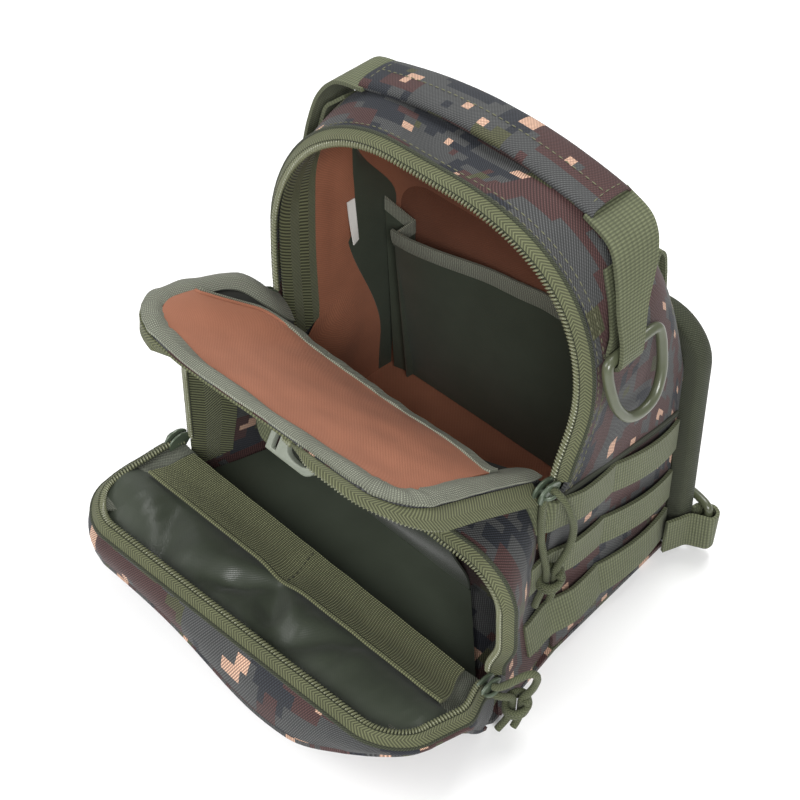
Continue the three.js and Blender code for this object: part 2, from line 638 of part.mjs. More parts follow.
makeShell();
makeBack();
makeInside();
makeFlap();
makePocket();
makeLid();
makeHandle();
makeSideWebbing();
makeZipPulls();

export default bag;
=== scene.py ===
# %% [markdown]
# # A chest bag, standing open
# The bag is sewn from printed nylon, olive webbing and coated cloth. Its main compartment is unzipped with
# the flap folded forwards, and the front pocket's lid hangs open like a tray. The solid model gives the
# main sizes and places. This lesson dresses it: each solid is replaced by a sewn piece, and a few curves
# shape them all.

# %% The frame
import math

import bpy
import numpy as np
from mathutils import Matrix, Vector, noise


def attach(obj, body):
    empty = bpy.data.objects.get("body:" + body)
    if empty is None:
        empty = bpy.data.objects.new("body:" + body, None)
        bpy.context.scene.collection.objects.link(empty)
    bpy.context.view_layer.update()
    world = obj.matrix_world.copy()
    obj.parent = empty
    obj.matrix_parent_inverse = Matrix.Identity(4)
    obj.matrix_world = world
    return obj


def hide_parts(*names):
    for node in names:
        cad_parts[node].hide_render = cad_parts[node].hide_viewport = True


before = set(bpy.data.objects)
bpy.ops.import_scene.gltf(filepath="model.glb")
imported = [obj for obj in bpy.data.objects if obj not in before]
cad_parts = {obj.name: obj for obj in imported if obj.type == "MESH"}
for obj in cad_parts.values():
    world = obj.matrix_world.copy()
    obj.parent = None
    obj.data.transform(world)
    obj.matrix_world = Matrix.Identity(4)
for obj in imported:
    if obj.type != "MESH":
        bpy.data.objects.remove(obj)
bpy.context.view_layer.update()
print("solids in the frame:", len(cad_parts))

# %% [markdown]
# ## Camera
# The photograph looks down at the bag's right front corner with a medium lens. A camera is easiest to place
# by its azimuth, elevation and distance from one target point, because each of these changes the picture in
# one way.

# %% Camera
TARGET = Vector((-0.0026, 0.0, 0.0863))
AZIMUTH = math.radians(44.5)
ELEVATION = math.radians(45.3)
DISTANCE = 0.632
FOCAL_PIXELS = 1500
IMAGE_PIXELS = 800
SENSOR = 36

level = math.cos(ELEVATION)
towards_camera = Vector((math.sin(AZIMUTH) * level, -math.cos(AZIMUTH) * level, math.sin(ELEVATION)))
bpy.ops.object.camera_add(location=TARGET + DISTANCE * towards_camera)
camera = bpy.context.active_object
camera.rotation_euler = towards_camera.to_track_quat("Z", "Y").to_euler()
camera.data.sensor_fit = "HORIZONTAL"
camera.data.sensor_width = SENSOR
camera.data.lens = SENSOR * FOCAL_PIXELS / IMAGE_PIXELS
bpy.context.scene.camera = camera
print("camera at", [round(c, 3) for c in camera.location])

# %% [markdown]
# ## Light and floor
# A product photograph has large soft lights, so that cloth shows its folds and no shadow is hard. The
# strongest light stands at the right front, weaker ones stand at the left front and above the back, and a
# white world lifts the rest.

# %% Light and floor
FLOOR_SIZE = 12
WORLD_STRENGTH = 0.4
PAPER = {"Base Color": (0.95, 0.95, 0.95, 1), "Roughness": 0.9}
LIT_POINT = Vector((0, 0, 0.08))
LIGHTS = {
    "back_light": {"place": (-0.2, 0.5, 1.25), "size": 0.7, "power": 12.5},
    "left_light": {"place": (-0.75, -1.0, 1.2), "size": 0.9, "power": 12.5},
    "right_light": {"place": (1.05, -0.85, 1.08), "size": 0.6, "power": 25},
}

for name, light in LIGHTS.items():
    bpy.ops.object.light_add(type="AREA", location=light["place"])
    lamp = bpy.context.active_object
    lamp.name = name
    lamp.data.size = light["size"]
    lamp.data.energy = light["power"]
    aim = Vector(light["place"]) - LIT_POINT
    lamp.rotation_euler = aim.to_track_quat("Z", "Y").to_euler()

world = bpy.data.worlds.new("studio")
world.use_nodes = True
background = world.node_tree.nodes["Background"]
background.inputs["Color"].default_value = (1, 1, 1, 1)
background.inputs["Strength"].default_value = WORLD_STRENGTH
bpy.context.scene.world = world
bpy.context.scene.view_settings.view_transform = "Standard"

bpy.ops.object.select_all(action="DESELECT")
bpy.ops.mesh.primitive_plane_add(size=FLOOR_SIZE)
floor = bpy.context.active_object
floor.name = "floor"
paper = bpy.data.materials.new("white_paper")
paper.use_nodes = True
for socket, value in PAPER.items():
    paper.node_tree.nodes["Principled BSDF"].inputs[socket].default_value = value
floor.data.materials.append(paper)
print("lights on a white floor:", list(LIGHTS))

# %% [markdown]
# ## Building shaders in code
# A shader is a set of boxes joined by wires. Small helpers add a box, feed a socket with a number or a
# wire, and do one sum. With them a weave can be written down almost as a formula.

# %% Shader helpers
MAP_NAME = "cloth"
MIX_SOCKETS = {"factor": 0, "low": 6, "high": 7}
MIX_RESULT = 2


def feed(tree, socket, value):
    if isinstance(value, bpy.types.NodeSocket):
        tree.links.new(value, socket)
    else:
        socket.default_value = value


def add_node(tree, kind, inputs=None, **settings):
    node = tree.nodes.new(kind)
    for key, value in settings.items():
        setattr(node, key, value)
    for key, value in (inputs or {}).items():
        feed(tree, node.inputs[key], value)
    return node


def calc(tree, operation, *values):
    node = add_node(tree, "ShaderNodeMath", operation=operation)
    for socket, value in zip(node.inputs, values):
        feed(tree, socket, value)
    return node.outputs[0]


def wave(tree, value, pitch):
    turns = calc(tree, "MULTIPLY", calc(tree, "DIVIDE", value, pitch), 2 * math.pi)
    return calc(tree, "MULTIPLY_ADD", calc(tree, "SINE", turns), 0.5, 0.5)


def squeeze(tree, value, low):
    """A value from 0 to 1, brought into the range from low to 1."""
    return calc(tree, "MULTIPLY_ADD", value, 1 - low, low)


def cloud(tree, place, scale, detail):
    node = add_node(tree, "ShaderNodeTexNoise", {"Vector": place, "Scale": scale, "Detail": detail})
    return node.outputs["Fac"]


def mix_colour(tree, factor, low, high):
    """A Mix node has a set of sockets for each kind of value, so those for colours are found by number."""
    node = add_node(tree, "ShaderNodeMix", data_type="RGBA")
    for key, value in (("factor", factor), ("low", low), ("high", high)):
        feed(tree, node.inputs[MIX_SOCKETS[key]], value)
    return node.outputs[MIX_RESULT]


def shader_group(name, inputs, outputs):
    tree = bpy.data.node_groups.new(name, "ShaderNodeTree")
    for label, kind, default in inputs:
        socket = tree.interface.new_socket(name=label, in_out="INPUT", socket_type=kind)
        if default is not None:
            socket.default_value = default
    for label, kind in outputs:
        tree.interface.new_socket(name=label, in_out="OUTPUT", socket_type=kind)
    entry = tree.nodes.new("NodeGroupInput")
    leave = tree.nodes.new("NodeGroupOutput")
    return tree, entry.outputs, leave.inputs


def place_group(tree, group, inputs):
    node = tree.nodes.new("ShaderNodeGroup")
    node.node_tree = group
    for key, value in inputs.items():
        feed(tree, node.inputs[key], value)
    return node.outputs


def across_and_along(tree, place):
    parts = add_node(tree, "ShaderNodeSeparateXYZ", {"Vector": place})
    return parts.outputs["X"], parts.outputs["Y"]


print("shader helpers ready")

# %% [markdown]
# ## Weaves
# All the cloth on the bag is one of four weaves: twill, ribbed webbing, herringbone tape and plain knit.
# Every sewn piece carries a map in millimetres, so a weave is drawn at its true thread size and follows the
# piece as it bends.

# %% Weave groups
VECTOR = "NodeSocketVector"
FLOAT = "NodeSocketFloat"
COLOUR = "NodeSocketColor"
TWILL_CROSS = {"pitch": 1.3, "low": 0.5}
WEB_RIB = {"step": 0.08, "low": 0.3, "column_low": 0.55}
KNIT_ALONG = 0.8


def weave_group(name, sizes):
    """A group that reads a place on the cloth and its thread sizes, and puts out the threads' height."""
    inputs = [("Place", VECTOR, None)] + [(label, FLOAT, size) for label, size in sizes.items()]
    tree, given, out = shader_group(name, inputs, [("Height", FLOAT)])
    x, y = across_and_along(tree, given["Place"])
    return tree, given, out, x, y


def twill_group():
    tree, given, out, x, y = weave_group("Twill", {"Pitch": 0.9, "Slope": 1.0})
    slanted = calc(tree, "MULTIPLY", y, given["Slope"])
    ridge = wave(tree, calc(tree, "ADD", x, slanted), given["Pitch"])
    wider = calc(tree, "MULTIPLY", given["Pitch"], TWILL_CROSS["pitch"])
    cross = wave(tree, calc(tree, "SUBTRACT", x, slanted), wider)
    feed(tree, out["Height"], calc(tree, "MULTIPLY", ridge, squeeze(tree, cross, TWILL_CROSS["low"])))
    return tree


def webbing_group():
    tree, given, out, x, y = weave_group("Ribbed webbing", {"Rib": 1.35, "Column": 1.9})
    columns = calc(tree, "DIVIDE", y, given["Column"])
    step = calc(tree, "MULTIPLY", calc(tree, "FLOOR", columns), WEB_RIB["step"])
    rib = wave(tree, calc(tree, "ADD", x, calc(tree, "MULTIPLY", step, given["Rib"])), given["Rib"])
    cord = calc(tree, "ABSOLUTE", calc(tree, "SINE", calc(tree, "MULTIPLY", columns, math.pi)))
    ribbed = squeeze(tree, rib, WEB_RIB["low"])
    feed(tree, out["Height"], calc(tree, "MULTIPLY", ribbed, squeeze(tree, cord, WEB_RIB["column_low"])))
    return tree


def herringbone_group():
    tree, given, out, x, y = weave_group("Herringbone", {"Pitch": 1.1, "Band": 3.2})
    zigzag = calc(tree, "PINGPONG", y, given["Band"])
    feed(tree, out["Height"], wave(tree, calc(tree, "ADD", x, zigzag), given["Pitch"]))
    return tree


def knit_group():
    tree, given, out, x, y = weave_group("Knit", {"Pitch": 0.8})
    across = wave(tree, x, given["Pitch"])
    along = wave(tree, y, calc(tree, "MULTIPLY", given["Pitch"], KNIT_ALONG))
    feed(tree, out["Height"], calc(tree, "MULTIPLY", across, along))
    return tree


TWILL = twill_group()
WEBBING = webbing_group()
HERRINGBONE = herringbone_group()
KNIT = knit_group()
print("weave groups:", [group.name for group in bpy.data.node_groups])

# %% [markdown]
# ## Uneven dye and block print
# No cloth is one flat colour, so one group gives a soft patchiness to every finish. The printed nylon
# carries a camouflage of square blocks. Rounding the map to a small cell before asking for noise makes the
# blocks square, and a threshold for each colour says how much of the cloth it covers.

# %% Colour groups
DYE_DETAIL = 4.0
BLOCK_DETAIL = 1.5
BLOCK_CELL = 3.7
GROUND = (0.064, 0.066, 0.066, 1)
BLOCK_LAYERS = [
    {"colour": (0.022, 0.025, 0.032, 1), "scale": 0.045, "flat": 1.6, "offset": 11.0, "over": 0.56},
    {"colour": (0.068, 0.032, 0.030, 1), "scale": 0.040, "flat": 1.9, "offset": 37.0, "over": 0.54},
    {"colour": (0.070, 0.072, 0.036, 1), "scale": 0.050, "flat": 1.7, "offset": 71.0, "over": 0.645},
    {"colour": (0.560, 0.350, 0.250, 1), "scale": 0.075, "flat": 1.5, "offset": 97.0, "over": 0.65},
]


def uneven_group():
    inputs = [("Scale", FLOAT, 60.0), ("Amount", FLOAT, 0.2)]
    tree, given, out = shader_group("Uneven dye", inputs, [("Factor", FLOAT)])
    place = add_node(tree, "ShaderNodeTexCoord").outputs["Object"]
    patches = cloud(tree, place, given["Scale"], DYE_DETAIL)
    centred = calc(tree, "MULTIPLY", calc(tree, "SUBTRACT", patches, 0.5), given["Amount"])
    feed(tree, out["Factor"], calc(tree, "ADD", centred, 1.0))
    return tree


def block_print_group():
    inputs = [("Place", VECTOR, None), ("Cell", FLOAT, BLOCK_CELL)]
    tree, given, out = shader_group("Block print", inputs, [("Colour", COLOUR)])

    def snapped(value):
        cells = calc(tree, "ROUND", calc(tree, "DIVIDE", value, given["Cell"]))
        return calc(tree, "MULTIPLY", cells, given["Cell"])

    x, y = across_and_along(tree, given["Place"])
    column = snapped(x)
    row = snapped(y)
    colour = GROUND
    for layer in BLOCK_LAYERS:
        block = {"X": column, "Y": calc(tree, "MULTIPLY", row, layer["flat"]), "Z": layer["offset"]}
        place = add_node(tree, "ShaderNodeCombineXYZ", block).outputs[0]
        patches = cloud(tree, place, layer["scale"], BLOCK_DETAIL)
        covered = calc(tree, "GREATER_THAN", patches, layer["over"])
        colour = mix_colour(tree, covered, colour, layer["colour"])
    feed(tree, out["Colour"], colour)
    return tree


UNEVEN = uneven_group()
BLOCK_PRINT = block_print_group()
print("colour groups:", [UNEVEN.name, BLOCK_PRINT.name])

# %% [markdown]
# ## Cloth finishes
# One recipe makes every cloth: a weave darkens the hollows between its threads as painted shade and raises
# the threads with a bump, the uneven dye shifts the tone, and sheen on the shader's own socket gives the soft
# edge light of fibres.

# %% Cloth finishes
MM = 0.001
DYE = {"Scale": 70.0, "Amount": 0.3}
HOLLOW_SHARE = 0.6
BUMP_STRENGTH = 0.7
SHEEN_ROUGHNESS = 0.4
SPECULAR = 0.3


def tint(tree, shader, colour, tone):
    """The colour times a tone that changes over the surface, on the shader's own colour socket."""
    tinted = add_node(tree, "ShaderNodeVectorMath", {"Scale": tone}, operation="SCALE")
    feed(tree, tinted.inputs[0], colour)
    feed(tree, shader.inputs["Base Color"], tinted.outputs[0])


def raise_bump(tree, shader, height, distance, strength):
    bump = add_node(tree, "ShaderNodeBump", {"Height": height, "Distance": distance, "Strength": strength})
    feed(tree, shader.inputs["Normal"], bump.outputs[0])


def new_finish(name):
    material = bpy.data.materials.new(name)
    material.use_nodes = True
    return material, material.node_tree, material.node_tree.nodes["Principled BSDF"]


def cloth_finish(name, colour, weave, relief, shade, roughness, sheen=0.05):
    group, settings = weave
    material, tree, shader = new_finish(name)
    place = add_node(tree, "ShaderNodeUVMap", uv_map=MAP_NAME).outputs["UV"]
    threads = place_group(tree, group, {"Place": place, **settings})["Height"]
    patch = place_group(tree, UNEVEN, DYE)["Factor"]
    if colour == "print":
        colour = place_group(tree, BLOCK_PRINT, {"Place": place})["Colour"]
    # Painted shade: the colour is darkened in the hollows between the threads
    shaded = calc(tree, "MULTIPLY_ADD", threads, shade, 1.0 - HOLLOW_SHARE * shade)
    tint(tree, shader, colour, calc(tree, "MULTIPLY", shaded, patch))
    raise_bump(tree, shader, threads, relief * MM, BUMP_STRENGTH)
    shader.inputs["Roughness"].default_value = roughness
    shader.inputs["Sheen Weight"].default_value = sheen
    shader.inputs["Sheen Roughness"].default_value = SHEEN_ROUGHNESS
    shader.inputs["Specular IOR Level"].default_value = SPECULAR
    return material


FINISH = {
    "printed": cloth_finish(
        "printed_nylon", "print", (TWILL, {"Pitch": 1.2}), relief=0.3, shade=1.1, roughness=0.7),
    "webbing": cloth_finish(
        "olive_webbing", (0.098, 0.108, 0.060), (WEBBING, {}), relief=0.6, shade=1.0, roughness=0.75),
    "tape": cloth_finish(
        "zip_tape", (0.098, 0.105, 0.054), (HERRINGBONE, {"Pitch": 1.5}),
        relief=0.4, shade=0.9, roughness=0.75),
    "facing": cloth_finish(
        "facing_tape", (0.108, 0.116, 0.060), (HERRINGBONE, {"Pitch": 1.7, "Band": 5.4}),
        relief=0.7, shade=1.3, roughness=0.8),
    "terracotta": cloth_finish(
        "terracotta_lining", (0.270, 0.107, 0.060), (TWILL, {"Pitch": 1.1}),
        relief=0.15, shade=0.3, roughness=0.65),
    # Painted shade: a darker copy of the terracotta lining, for the shadow on the back lining under the top
    "shaded": cloth_finish(
        "back_lining_painted_shade", (0.150, 0.056, 0.031), (TWILL, {"Pitch": 1.1}),
        relief=0.15, shade=0.3, roughness=0.65),
    "binding": cloth_finish(
        "grey_binding", (0.215, 0.225, 0.175), (KNIT, {"Pitch": 0.95}), relief=0.4, shade=1.0, roughness=0.8),
    "mesh": cloth_finish(
        "grey_mesh", (0.120, 0.128, 0.100), (TWILL, {"Pitch": 1.3}), relief=0.4, shade=0.8, roughness=0.85),
    "elastic": cloth_finish(
        "olive_elastic", (0.192, 0.203, 0.105), (KNIT, {"Pitch": 1.2}),
        relief=0.6, shade=1.3, roughness=0.85),
    # Painted shade: the flap's coated inside, darkened to near black for the shade inside the flap's pocket
    "coated_painted_shade": cloth_finish(
        "flap_inside_painted_shade", (0.012, 0.013, 0.010), (TWILL, {"Pitch": 0.8}), relief=0.1, shade=0.3, roughness=0.8),
    "bound": cloth_finish(
        "back_binding_cloth", (0.044, 0.050, 0.029), (TWILL, {"Pitch": 1.1}),
        relief=0.4, shade=1.0, roughness=0.8),
    "pad": cloth_finish(
        "padded_mesh", (0.075, 0.082, 0.050), (KNIT, {"Pitch": 2.2}), relief=0.6, shade=0.8, roughness=0.85),
    "label": cloth_finish(
        "plain_label", (0.700, 0.695, 0.660), (TWILL, {"Pitch": 0.5}),
        relief=0.05, shade=0.15, roughness=0.6),
    "cord": cloth_finish(
        "braided_cord", (0.085, 0.095, 0.050), (HERRINGBONE, {"Pitch": 1.2, "Band": 1.1}),
        relief=0.5, shade=0.6, roughness=0.8),
    "coated": cloth_finish(
        "coated_green", (0.043, 0.051, 0.037), (TWILL, {"Pitch": 0.8}),
        relief=0.05, shade=0.2, roughness=0.33, sheen=0.1),
}
print("cloth finishes:", len(FINISH))

# %% [markdown]
# ## Hard finishes
# The rings, the hook, the zip teeth and the sliders are moulded or painted. They need little more than a
# colour and a slight unevenness in their gloss. The painted sliders are partly metallic under a thin coat.

# %% Hard finishes
GRAIN_DEPTH = 0.0001
GRAIN_STRENGTH = 0.4


def hard_finish(name, colour, roughness, metallic=0.0, coat=0.0, grain=260.0, dye=0.35):
    material, tree, shader = new_finish(name)
    patch = place_group(tree, UNEVEN, {"Scale": grain, "Amount": dye})["Factor"]
    tint(tree, shader, colour, patch)
    feed(tree, shader.inputs["Roughness"], calc(tree, "MULTIPLY", patch, roughness))
    raise_bump(tree, shader, patch, GRAIN_DEPTH, GRAIN_STRENGTH)
    shader.inputs["Metallic"].default_value = metallic
    shader.inputs["Coat Weight"].default_value = coat
    return material


FINISH["plastic"] = hard_finish("olive_plastic", (0.066, 0.074, 0.042), 0.32, coat=0.2)
FINISH["hook"] = hard_finish("pale_plastic", (0.270, 0.295, 0.240), 0.45)
FINISH["metal"] = hard_finish("painted_metal", (0.085, 0.110, 0.075), 0.35, metallic=0.35, coat=0.3)
FINISH["teeth"] = hard_finish("zip_teeth", (0.140, 0.147, 0.083), 0.3, coat=0.3, dye=0.2)
FINISH["thread"] = hard_finish("olive_thread", (0.120, 0.120, 0.070), 0.8, grain=400.0)
FINISH["dark_thread"] = hard_finish("dark_thread", (0.030, 0.033, 0.022), 0.8, grain=400.0)
print("finishes in all:", len(FINISH))

# %% [markdown]
# ## Sewing helpers
# A cloth piece is a flat grid whose points are moved onto a surface, exactly as a panel is laid on a form.
# The grid keeps its rows and columns, so the lengths along them give the map in millimetres, and Solidify
# gives the cloth its thickness. A few small formulas give the bends, humps and creases that every piece is
# shaped with.

# %% Formulas


def lerp(low, high, t):
    return low + (high - low) * t


def clamp(value):
    return min(max(value, 0.0), 1.0)


def smooth(value, low, high):
    """An easy rise from 0 to 1 as the value goes from low to high."""
    t = clamp((value - low) / (high - low))
    return t * t * (3 - 2 * t)


def hump(t):
    """A rise from 0 to 1 and back again as t goes from 0 to 1."""
    return math.sin(math.pi * clamp(t))


def bell(value, wide):
    return math.exp(-((value / wide) ** 2))


def part_way(rows, t):
    """The row at share t of a list, between its two nearest rows."""
    place = t * (len(rows) - 1)
    i = min(int(place), len(rows) - 2)
    return [lerp(a, b, place - i) for a, b in zip(rows[i], rows[i + 1])]


def point(x, y, z):
    return np.array((x, y, z), dtype=float)


def unit(vector):
    return vector / (np.linalg.norm(vector) + 1e-12)


def wrinkle(a, b, seed):
    """Soft unevenness about 0: the seed picks the pattern, and larger a and b make it finer."""
    return noise.noise(Vector((a, b, seed)))


print("half way up an easy rise:", smooth(0.5, 0, 1))

# %% Mesh helpers
SHARP = math.radians(40)
DOUBLED = 0.02


def select_only(piece):
    bpy.ops.object.select_all(action="DESELECT")
    piece.select_set(True)
    bpy.context.view_layer.objects.active = piece


def apply_modifiers(piece):
    select_only(piece)
    for modifier in list(piece.modifiers):
        bpy.ops.object.modifier_apply(modifier=modifier.name)
    bpy.ops.object.shade_smooth_by_angle(angle=SHARP)


def thicken(piece, thick, offset):
    wall = piece.modifiers.new("wall", "SOLIDIFY")
    wall.thickness = thick * MM
    wall.offset = offset


def round_edges(piece, width, segments):
    rounded = piece.modifiers.new("rounded", "BEVEL")
    rounded.width = width
    rounded.segments = segments
    rounded.limit_method = "ANGLE"
    apply_modifiers(piece)


def face_outwards(piece, doubled=0.0):
    """Turns all faces outwards, after points closer than doubled have been merged."""
    select_only(piece)
    bpy.ops.object.mode_set(mode="EDIT")
    bpy.ops.mesh.select_all(action="SELECT")
    if doubled:
        bpy.ops.mesh.remove_doubles(threshold=doubled * MM)
    bpy.ops.mesh.normals_make_consistent(inside=False)
    bpy.ops.object.mode_set(mode="OBJECT")


def set_map(mesh, uv):
    layer = mesh.uv_layers.active or mesh.uv_layers.new()
    layer.name = MAP_NAME
    layer.data.foreach_set("uv", np.asarray(uv, dtype=np.float32).ravel())


def new_mesh(name, points, faces, uv=None):
    mesh = bpy.data.meshes.new(name)
    mesh.from_pydata((np.asarray(points) * MM).tolist(), [], faces)
    if uv is not None:
        set_map(mesh, uv)
    piece = bpy.data.objects.new(f"{name}_made", mesh)
    bpy.context.collection.objects.link(piece)
    apply_modifiers(piece)
    return piece


print("mesh helpers ready")

# %% Sewing helpers
BAG = "bag"
# A strip narrower than this is trim
NARROWEST = 0.0105
# The flat size and area of each cloth piece, by its name
FLAT = {}


def cloth(name, at, grid, thick, closed=False):
    """A grid of cloth whose point at shares u along and v across lies at at(u, v), in millimetres."""
    along, across = grid
    bpy.ops.object.select_all(action="DESELECT")
    bpy.ops.mesh.primitive_grid_add(x_subdivisions=along, y_subdivisions=across, size=1.0)
    piece = bpy.context.active_object
    piece.name = f"{name}_sewn"
    mesh = piece.data
    mesh.name = piece.name
    flat = np.empty(3 * len(mesh.vertices))
    mesh.vertices.foreach_get("co", flat)
    place = flat.reshape(-1, 3)[:, :2] + 0.5
    i = np.rint(place[:, 0] * along).astype(int)
    j = np.rint(place[:, 1] * across).astype(int)
    points = np.array([at(u, v) for u, v in place])
    table = np.zeros((along + 1, across + 1, 3))
    table[i, j] = points
    runs = np.linalg.norm(np.diff(table, axis=0), axis=2)
    rises = np.linalg.norm(np.diff(table, axis=1), axis=2)
    s = np.concatenate([[0], np.cumsum(runs.mean(axis=1))])
    t = np.concatenate([[0], np.cumsum(rises.mean(axis=0))])
    mesh.vertices.foreach_set("co", (points * MM).ravel())
    corner = np.empty(len(mesh.loops), dtype=int)
    mesh.loops.foreach_get("vertex_index", corner)
    set_map(mesh, np.stack([s[i[corner]], t[j[corner]]], axis=1))
    mesh.update()
    area = sum(face.area for face in mesh.polygons)
    FLAT[piece.name] = (rises.sum(axis=1).max() * MM, runs.sum(axis=0).max() * MM, area)
    if closed:
        face_outwards(piece, DOUBLED)
    if thick:
        thicken(piece, thick, 0)
    apply_modifiers(piece)
    return piece


def dress(piece, finish, nodes=(), body=BAG):
    piece.data.materials.clear()
    piece.data.materials.append(FINISH[finish])
    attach(piece, body)
    if nodes:
        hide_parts(*nodes)
    return piece


def declare(piece):
    wide, long, area = FLAT[piece.name]
    if min(wide, long) < NARROWEST:
        return


def panel(name, at, finish, nodes=(), *, grid, thick):
    piece = dress(cloth(name, at, grid, thick), finish, nodes)
    declare(piece)


# %% [markdown]
# ## Lines, ropes and repeats
# Piping, rings and cords are ropes: a ring of points is swept along a line and turned with it. A line is
# drawn smoothly through a few chosen points. A stitch or a zip's tooth is one bead, modelled once and
# copied along a line, because a few dozen faces are enough for something so small.

# %% Lines, ropes and repeats
CURVE_STEPS = 24
ANY_WAY = (0.31, 0.52, 0.79)


def run_along(line):
    """How far along a line each of its points lies."""
    gaps = np.linalg.norm(np.diff(line, axis=0), axis=1)
    return np.concatenate([[0], np.cumsum(gaps)])


def place_on(line, run, wanted):
    """The place on a line at one wanted distance along it, or the places at many."""
    return np.stack([np.interp(wanted, run, line[:, k]) for k in range(3)], axis=-1)


def resample(points, step=None, count=None):
    points = np.asarray(points, dtype=float)
    run = run_along(points)
    count = count or max(int(round(run[-1] / step)) + 1, 2)
    return place_on(points, run, np.linspace(0, run[-1], count))


def smooth_line(points, count):
    """A centripetal curve through the points, evenly stepped."""
    points = np.asarray(points, dtype=float)
    first = 2 * points[0] - points[1]
    last = 2 * points[-1] - points[-2]
    held = np.vstack([first, points, last])
    fine = []
    for p0, p1, p2, p3 in zip(held, held[1:], held[2:], held[3:]):
        t1 = np.sqrt(np.linalg.norm(p1 - p0))
        t2 = t1 + np.sqrt(np.linalg.norm(p2 - p1))
        t3 = t2 + np.sqrt(np.linalg.norm(p3 - p2))
        for t in np.linspace(t1, t2, CURVE_STEPS, endpoint=False):
            a1 = (t1 - t) / t1 * p0 + t / t1 * p1
            a2 = (t2 - t) / (t2 - t1) * p1 + (t - t1) / (t2 - t1) * p2
            a3 = (t3 - t) / (t3 - t2) * p2 + (t - t2) / (t3 - t2) * p3
            b1 = (t2 - t) / t2 * a1 + t / t2 * a2
            b2 = (t3 - t) / (t3 - t1) * a2 + (t - t1) / (t3 - t1) * a3
            fine.append((t2 - t) / (t2 - t1) * b1 + (t - t1) / (t2 - t1) * b2)
    fine.append(points[-1])
    return resample(fine, count=count)


def tangents(points, closed=False):
    if closed:
        steps = np.roll(points, -1, axis=0) - np.roll(points, 1, axis=0)
    else:
        steps = np.gradient(points, axis=0)
    return steps / np.linalg.norm(steps, axis=1)[:, None]


def rope(name, points, radius, sides=12, closed=False):
    points = np.asarray(points, dtype=float)
    along = tangents(points, closed)
    side = unit(np.cross(along[0], ANY_WAY))
    turn = np.linspace(0, 2 * np.pi, sides, endpoint=False)
    rings = []
    for p, t in zip(points, along):
        side = unit(side - t * side.dot(t))
        up = np.cross(t, side)
        rings.append(p + radius * (np.cos(turn)[:, None] * side + np.sin(turn)[:, None] * up))
    count = len(points)
    run = run_along(points)
    faces = []
    uv = []
    spans = count if closed else count - 1
    girth = 2 * np.pi * radius / sides
    for i in range(spans):
        k = (i + 1) % count
        s0 = run[i]
        s1 = run[i + 1] if i + 1 < count else run[i] + (run[1] - run[0])
        for j in range(sides):
            m = (j + 1) % sides
            faces.append((i * sides + j, i * sides + m, k * sides + m, k * sides + j))
            uv += [(s0, j * girth), (s0, (j + 1) * girth), (s1, (j + 1) * girth), (s1, j * girth)]
    if not closed:
        faces.append(tuple(range(sides))[::-1])
        faces.append(tuple((count - 1) * sides + j for j in range(sides)))
        uv += [(0, 0)] * (2 * sides)
    return new_mesh(name, np.vstack(rings), faces, uv)


def small_bead(segments, rings):
    """One round bead of radius 1, modelled once: its points and faces are copied along a line."""
    bpy.ops.object.select_all(action="DESELECT")
    bpy.ops.mesh.primitive_uv_sphere_add(segments=segments, ring_count=rings, radius=1.0)
    bead = bpy.context.active_object
    points = np.array([v.co for v in bead.data.vertices])
    faces = [tuple(f.vertices) for f in bead.data.polygons]
    bpy.ops.object.delete()
    return points, faces


def copies(name, shape, places):
    """Copies of a small shape: each place is an origin and three axes."""
    points, faces = shape
    count = len(points)
    all_points = [origin + points @ np.array(axes) for origin, axes in places]
    all_faces = [tuple(n + i * count for n in face) for i in range(len(places)) for face in faces]
    return new_mesh(name, np.vstack(all_points), all_faces)


print("line helpers ready")

# %% Stitches
STITCH = {"long": 2.4, "pitch": 3.3, "wide": 0.26, "high": 0.22, "probe": 0.5}
STITCH_BEAD = small_bead(6, 4)


def stitch_places(line, normals, long=STITCH["long"], pitch=STITCH["pitch"]):
    line = np.asarray(line, dtype=float)
    normals = np.asarray(normals, dtype=float)
    run = run_along(line)
    places = []
    for middle in np.arange(pitch / 2, run[-1], pitch):
        ahead = place_on(line, run, min(middle + STITCH["probe"], run[-1]))
        behind = place_on(line, run, max(middle - STITCH["probe"], 0))
        along = unit(ahead - behind)
        side = unit(np.cross(unit(place_on(normals, run, middle)), along))
        up = np.cross(along, side)
        axes = (along * long / 2, side * STITCH["wide"], up * STITCH["high"])
        places.append((place_on(line, run, middle), axes))
    return places


def surface_line(at, path, lift):
    """Points and normals of a line drawn on a surface at(u, v), a little above it."""
    line = []
    normals = []
    step = 1e-3
    for u, v in path:
        du = at(min(u + step, 1), v) - at(max(u - step, 0), v)
        dv = at(u, min(v + step, 1)) - at(u, max(v - step, 0))
        normal = unit(np.cross(du, dv))
        line.append(at(u, v) + lift * normal)
        normals.append(normal)
    return line, normals


def sew(name, seams, finish="thread", **sizes):
    places = []
    for line, normals in seams:
        places += stitch_places(line, normals, **sizes)
    dress(copies(name, STITCH_BEAD, places), finish)


def straight(u0, v0, u1, v1, count=80):
    return [(lerp(u0, u1, t), lerp(v0, v1, t)) for t in np.linspace(0, 1, count)]


print("faces of one stitch:", len(STITCH_BEAD[1]))

# %% [markdown]
# ## Zip pulls
# Each zip on the right has a pull of soft cord: it is threaded through the slider, brought together and
# tied in an overhand knot, and two short tails are left. The routes repeat the solid model's own points, so
# the cords lie where their solids are, and the knot is one more length of the same cord wound round both
# strands.

